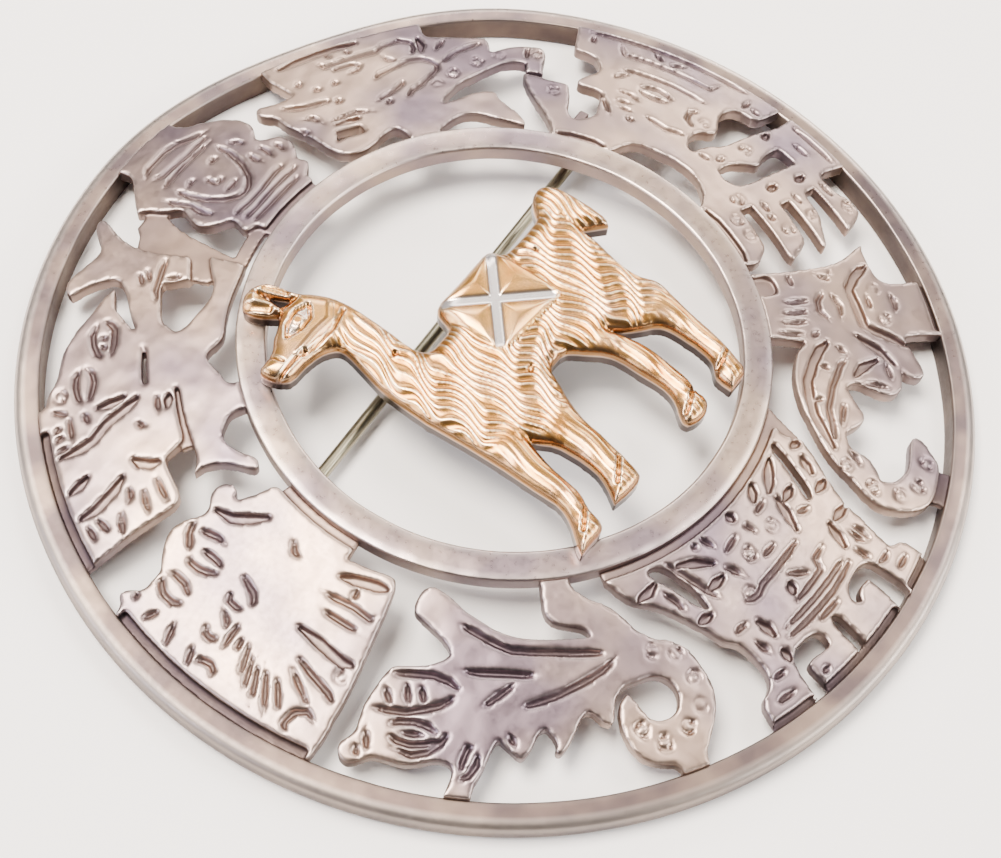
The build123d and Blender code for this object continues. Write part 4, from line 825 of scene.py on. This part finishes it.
lean = NECK_LEAN * np.clip(y - 1.0, 0, None) * soft_step(-x, 1.0, 4.0)
lean += BELLY_LEAN * np.clip(-y, 0, 4) * soft_step(x, -2.0, 6.0)
drift = 0.8 * np.sin(0.62 * x + 0.31 * y + 0.6) + 0.5 * np.sin(0.4 * x - 0.83 * y + 2.1)
phase = 2 * math.pi * (y - CREST_SLANT * x) / FLEECE_WAVE + drift
reach = 0.75 + 0.35 * np.sin(0.8 * x - 0.5 * y + 1.0)
swing = FLEECE_SWING * reach * (np.sin(phase) + 0.12 * np.sin(2 * phase + 0.5))
locks = 0.2 * np.sin(1.1 * x + 1.3 * y) + 0.15 * np.sin(2.1 * x - 0.7 * y + 1.7)
fleece_comb = comb((x - lean - swing) / FLEECE_PITCH + locks)
tail_comb = comb((x - 0.35 * y + 0.15 * np.sin(2 * y)) / FLEECE_PITCH)
leg_comb = comb((x - 0.24 * y + 0.1 * np.sin(1.7 * y)) / LEG_PITCH)

# %% [markdown]
# Lids, mouth, ears and hooves are grooves along short lines. Each line has a width and a depth.

# %% Face and cut lines
EYE_CENTRE = (-7.4, 10.4)
EYE_BALL_SIDE = (0.28, 0.46)
EYE_WHITE_WIDTH = 0.42
EYE_WHITE_LINE = line_of([(-8.1, 10.35), (-7.4, 10.4), (-6.7, 10.4)])
JAW_LINE = line_of([(-9.2, 8.9), (-7.4, 8.95), (-6.2, 8.8), (-5.3, 9.4)])
JAW_SIDE = (0.1, 0.4)
CUT_LINES = [
    (line_of([(-8.7, 10.25), (-8.0, 10.75), (-6.9, 10.9), (-6.1, 10.55)]), 0.14, 0.22),
    (line_of([(-8.7, 10.2), (-7.7, 9.85), (-6.8, 9.9), (-6.2, 10.4)]), 0.14, 0.2),
    (line_of([(-11.3, 9.0), (-9.6, 8.95), (-8.9, 8.8)]), 0.14, 0.3),
    (line_of([(-10.3, 10.3), (-10.2, 9.4)]), 0.12, 0.12),
    (line_of([(-8.2, 13.6), (-7.6, 12.4)]), 0.28, 0.25),
    (line_of([(-6.5, 13.5), (-6.0, 12.2)]), 0.22, 0.2),
    (line_of([(-7.2, 14.2), (-6.8, 12.9)]), 0.12, 0.3),
    (line_of([(-5.9, 11.5), (-7.3, 11.7), (-8.7, 11.1)]), 0.12, 0.12),
    (line_of([(-5.2, 8.6), (-6.6, 8.3), (-8.2, 8.45), (-9.2, 8.7)]), 0.12, 0.16),
    (line_of([(-8.2, -10.2), (-9.6, -10.9)]), 0.14, 0.2),
    (line_of([(-4.3, -10.2), (-5.9, -11.0)]), 0.14, 0.2),
    (line_of([(2.3, -11.6), (0.5, -12.1)]), 0.14, 0.2),
    (line_of([(5.9, -12.0), (4.4, -12.2)]), 0.14, 0.2),
    (line_of([(-2.3, -2.9), (-2.2, -2.9)]), 0.18, 0.2),
    (line_of([(-6.1, 4.3), (-6.0, 4.3)]), 0.18, 0.2),
    (line_of([(5.3, 1.4), (5.4, 1.4)]), 0.14, 0.2),
]
CUT_SIDE = (0.4, 1.3)
eye_white = np.clip(1 - distance_to(xy, EYE_WHITE_LINE) / EYE_WHITE_WIDTH, 0, 1)
eye_distance = np.hypot(x - EYE_CENTRE[0], y - EYE_CENTRE[1])
eye_ball = 1 - soft_step(eye_distance, *EYE_BALL_SIDE)
jaw = 1 - soft_step(distance_to(xy, JAW_LINE), *JAW_SIDE)

# %% Put the heights together
FLEECE_HEIGHT = 0.16
LEG_HEIGHT = 0.05
COMB_MIDDLE = 0.6
COMBED_EDGE = (0.05, 0.4)
SADDLE_BASE = 0.05
CROSS_DEPTH = 0.1
EYE_WHITE_DEPTH = 0.07
EYE_BALL_RISE = 0.12
JAW_RISE = 0.1
height = relief * LLAMA_THICKNESS
combed_edge = soft_step(edge_distance, *COMBED_EDGE)
for share, rise, ridges in ((fleece, FLEECE_HEIGHT, fleece_comb),
                            (tail, FLEECE_HEIGHT, tail_comb), (leg, LEG_HEIGHT, leg_comb)):
    height += share * rise * (ridges - COMB_MIDDLE) * combed_edge
height += saddle * (SADDLE_BASE + (SADDLE_RISE - SADDLE_BASE) * cushion)
height -= saddle * cross_cut * CROSS_DEPTH
height -= EYE_WHITE_DEPTH * soft_step(eye_white, 0.0, 0.5)
height += EYE_BALL_RISE * eye_ball + JAW_RISE * jaw
for segments, width, depth in CUT_LINES:
    limits = [width * side for side in CUT_SIDE]
    height -= depth * (1 - soft_step(distance_to(xy, segments), *limits))
height = np.minimum(height, LLAMA_THICKNESS + SADDLE_RISE)
lift = (points[:, 2] - llama_floor) / LLAMA_THICKNESS
points[:, 2] = llama_floor + lift * height
set_points(mesh, points)

# %% [markdown]
# Last come the four numbers that the gilding reads. Tarnish gathers between the ridges and in
# the cut lines, and painted shade darkens the gilt along the outline, where the relief turns
# down.

# %% Tarnish and bare silver of the llama
LLAMA_WEAR_ROUNDS = 4
LLAMA_GAIN = 20
LLAMA_START = 0.1
HOLLOW_MOST = 0.85
EDGE_MOST = 0.9
WALL_HEIGHTS = (0.62, 0.88)
EYE_WHITE_BARE = 0.55
BACK_FACING = -0.5
FLEECE_VALLEY = (0.3, 0.95)
FLEECE_TARNISH = 0.5
LEG_VALLEY = (0.5, 1.0)
LEG_TARNISH = 0.45
BORDER_SIDE = (0.12, 0.42)
PAINTED_BORDER_SHADE = 0.6
above = wear(mesh, LLAMA_WEAR_ROUNDS)
wall = 1 - soft_step(points[:, 2] - llama_floor, *WALL_HEIGHTS)
bare_eye = EYE_WHITE_BARE * soft_step(eye_white, 0.1, 0.4) * (1 - eye_ball)
bare = np.maximum.reduce([wall, saddle * cross_cut, bare_eye])
bare = np.where(normals_of(mesh)[:, 2] < BACK_FACING, 1, bare)
combed = fleece * soft_step(1 - fleece_comb, *FLEECE_VALLEY)
combed += tail * soft_step(1 - tail_comb, *FLEECE_VALLEY)
combed = combed * FLEECE_TARNISH + LEG_TARNISH * leg * soft_step(1 - leg_comb, *LEG_VALLEY)
# Painted shade along the outline, where the rounded relief turns down.
border_shade = PAINTED_BORDER_SHADE * (1 - soft_step(edge_distance, *BORDER_SIDE))
tarnish_and_shade_share = wear_share(-above, LLAMA_GAIN, LLAMA_START, HOLLOW_MOST)
tarnish_and_shade_share = np.maximum.reduce([tarnish_and_shade_share, combed, border_shade])
bright = wear_share(above, LLAMA_GAIN, LLAMA_START, EDGE_MOST)
dress(mesh, gilt, {"tarnish_and_shade": tarnish_and_shade_share, "edge": bright, "bare": bare, "wall": wall})
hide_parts("llama")
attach(llama, "brooch")

# %% [markdown]
# ## Pin and rivet
#
# The pin's wire and its rivet are already the right shape, so they only get their metal.

# %% Pin wire finish
for node in ("pin_stem", "hinge_rivet"):
    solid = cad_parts[node]
    for material_slot in solid.material_slots:
        material_slot.material = pin_wire

# %% [markdown]
# ## Table, light and camera
#
# The brooch lies on a white card under soft light from large diffusers. The camera stands where
# the photographer's did: close, and about sixty degrees above the card.

# %% White card
CARD_HALF = 0.6
CARD_TOP = -0.02 * MM
CARD_ROUGHNESS = 0.9
card = bpy.data.materials.new("matt_white_card")
card.use_nodes = True
card_shader = card.node_tree.nodes["Principled BSDF"]
card_shader.inputs["Base Color"].default_value = linear("#fbf9f8")
card_shader.inputs["Roughness"].default_value = CARD_ROUGHNESS
card_corners = [(-CARD_HALF, -CARD_HALF, CARD_TOP), (CARD_HALF, -CARD_HALF, CARD_TOP),
                (CARD_HALF, CARD_HALF, CARD_TOP), (-CARD_HALF, CARD_HALF, CARD_TOP)]
floor_mesh = bpy.data.meshes.new("card")
floor_mesh.from_pydata(card_corners, [], [(0, 1, 2, 3)])
floor_mesh.materials.append(card)
floor = placed("card", floor_mesh)

# %% [markdown]
# Metal shows what it mirrors. The sky is brighter overhead, and one side of it is dark like an
# unlit room, so the silver gets the contrast that an even white sky would take away.

# %% Light
ROOM_SIDE = (-0.72, -0.48, 0.5)
world = bpy.data.worlds.new("studio")
bpy.context.scene.world = world
world.use_nodes = True
background = world.node_tree.nodes["Background"]
background.inputs["Color"].default_value = linear("#e9e4e2")
sky = add_node(world, "ShaderNodeTexCoord").outputs["Generated"]
sky_height = add_node(world, "ShaderNodeSeparateXYZ", links={0: sky}).outputs["Z"]
sky_light = add_node(world, "ShaderNodeMapRange",
                     {"From Min": 0.0, "From Max": 1.0, "To Min": 0.55, "To Max": 1.0},
                     {"Value": sky_height}).outputs["Result"]
room_side = add_node(world, "ShaderNodeVectorMath", {"operation": "DOT_PRODUCT", 1: ROOM_SIDE},
                     {0: sky}).outputs["Value"]
room_shade = add_node(world, "ShaderNodeMapRange",
                      {"From Min": 0.3, "From Max": 0.75, "To Min": 1.0, "To Max": 0.1},
                      {"Value": room_side}).outputs["Result"]
sky_light = add_node(world, "ShaderNodeMath", {"operation": "MULTIPLY"},
                     {0: sky_light, 1: room_shade}).outputs["Value"]
world.node_tree.links.new(sky_light, background.inputs["Strength"])


def diffuser(name, place, size, power, colour):
    """A soft rectangular light that faces the brooch; place and size are in metres."""
    lamp = bpy.data.lights.new(name, "AREA")
    lamp.shape = "RECTANGLE"
    lamp.size, lamp.size_y = size
    lamp.energy = power
    lamp.color = linear(colour)[:3]
    holder = placed(name, lamp)
    holder.location = place
    holder.rotation_mode = "QUATERNION"
    holder.rotation_quaternion = (-Vector(place)).to_track_quat("-Z", "Y")


diffuser("ceiling", (-0.05, 0.16, 0.44), (0.26, 0.20), 6.6, "#fff3e6")
diffuser("fill", (-0.35, 0.25, 0.22), (0.30, 0.16), 1.7, "#f6f4ff")
diffuser("front", (0.10, -0.42, 0.22), (0.35, 0.15), 2.6, "#fffaf4")
diffuser("window", (0.42, 0.05, 0.20), (0.16, 0.16), 0.8, "#fff6ee")
diffuser("side", (0.20, -0.13, 0.38), (0.16, 0.16), 1.1, "#fff6ee")
diffuser("back", (0.31, 0.22, 0.32), (0.16, 0.16), 0.7, "#fff6ee")

# %% Camera
CAMERA_PLACE = Vector((-44.51, -21.10, 77.86)) * MM
CAMERA_RIGHT = Vector((0.5314, -0.8440, 0.0730))
CAMERA_UP = Vector((0.7171, 0.4940, 0.4917))
LENS = 51.82
SENSOR_WIDTH = 36.0
CLIP_START = 0.005
camera_data = bpy.data.cameras.new("camera")
camera_data.lens = LENS
camera_data.sensor_width = SENSOR_WIDTH
camera_data.clip_start = CLIP_START
camera = placed("camera", camera_data)
backward = CAMERA_RIGHT.cross(CAMERA_UP).normalized()
upward_axis = backward.cross(CAMERA_RIGHT).normalized()
right_axis = upward_axis.cross(backward)
turned = Matrix((right_axis, upward_axis, backward)).transposed()
camera.matrix_world = Matrix.Translation(CAMERA_PLACE) @ turned.to_4x4()
bpy.context.scene.camera = camera

# %% The end
bpy.context.view_layer.update()
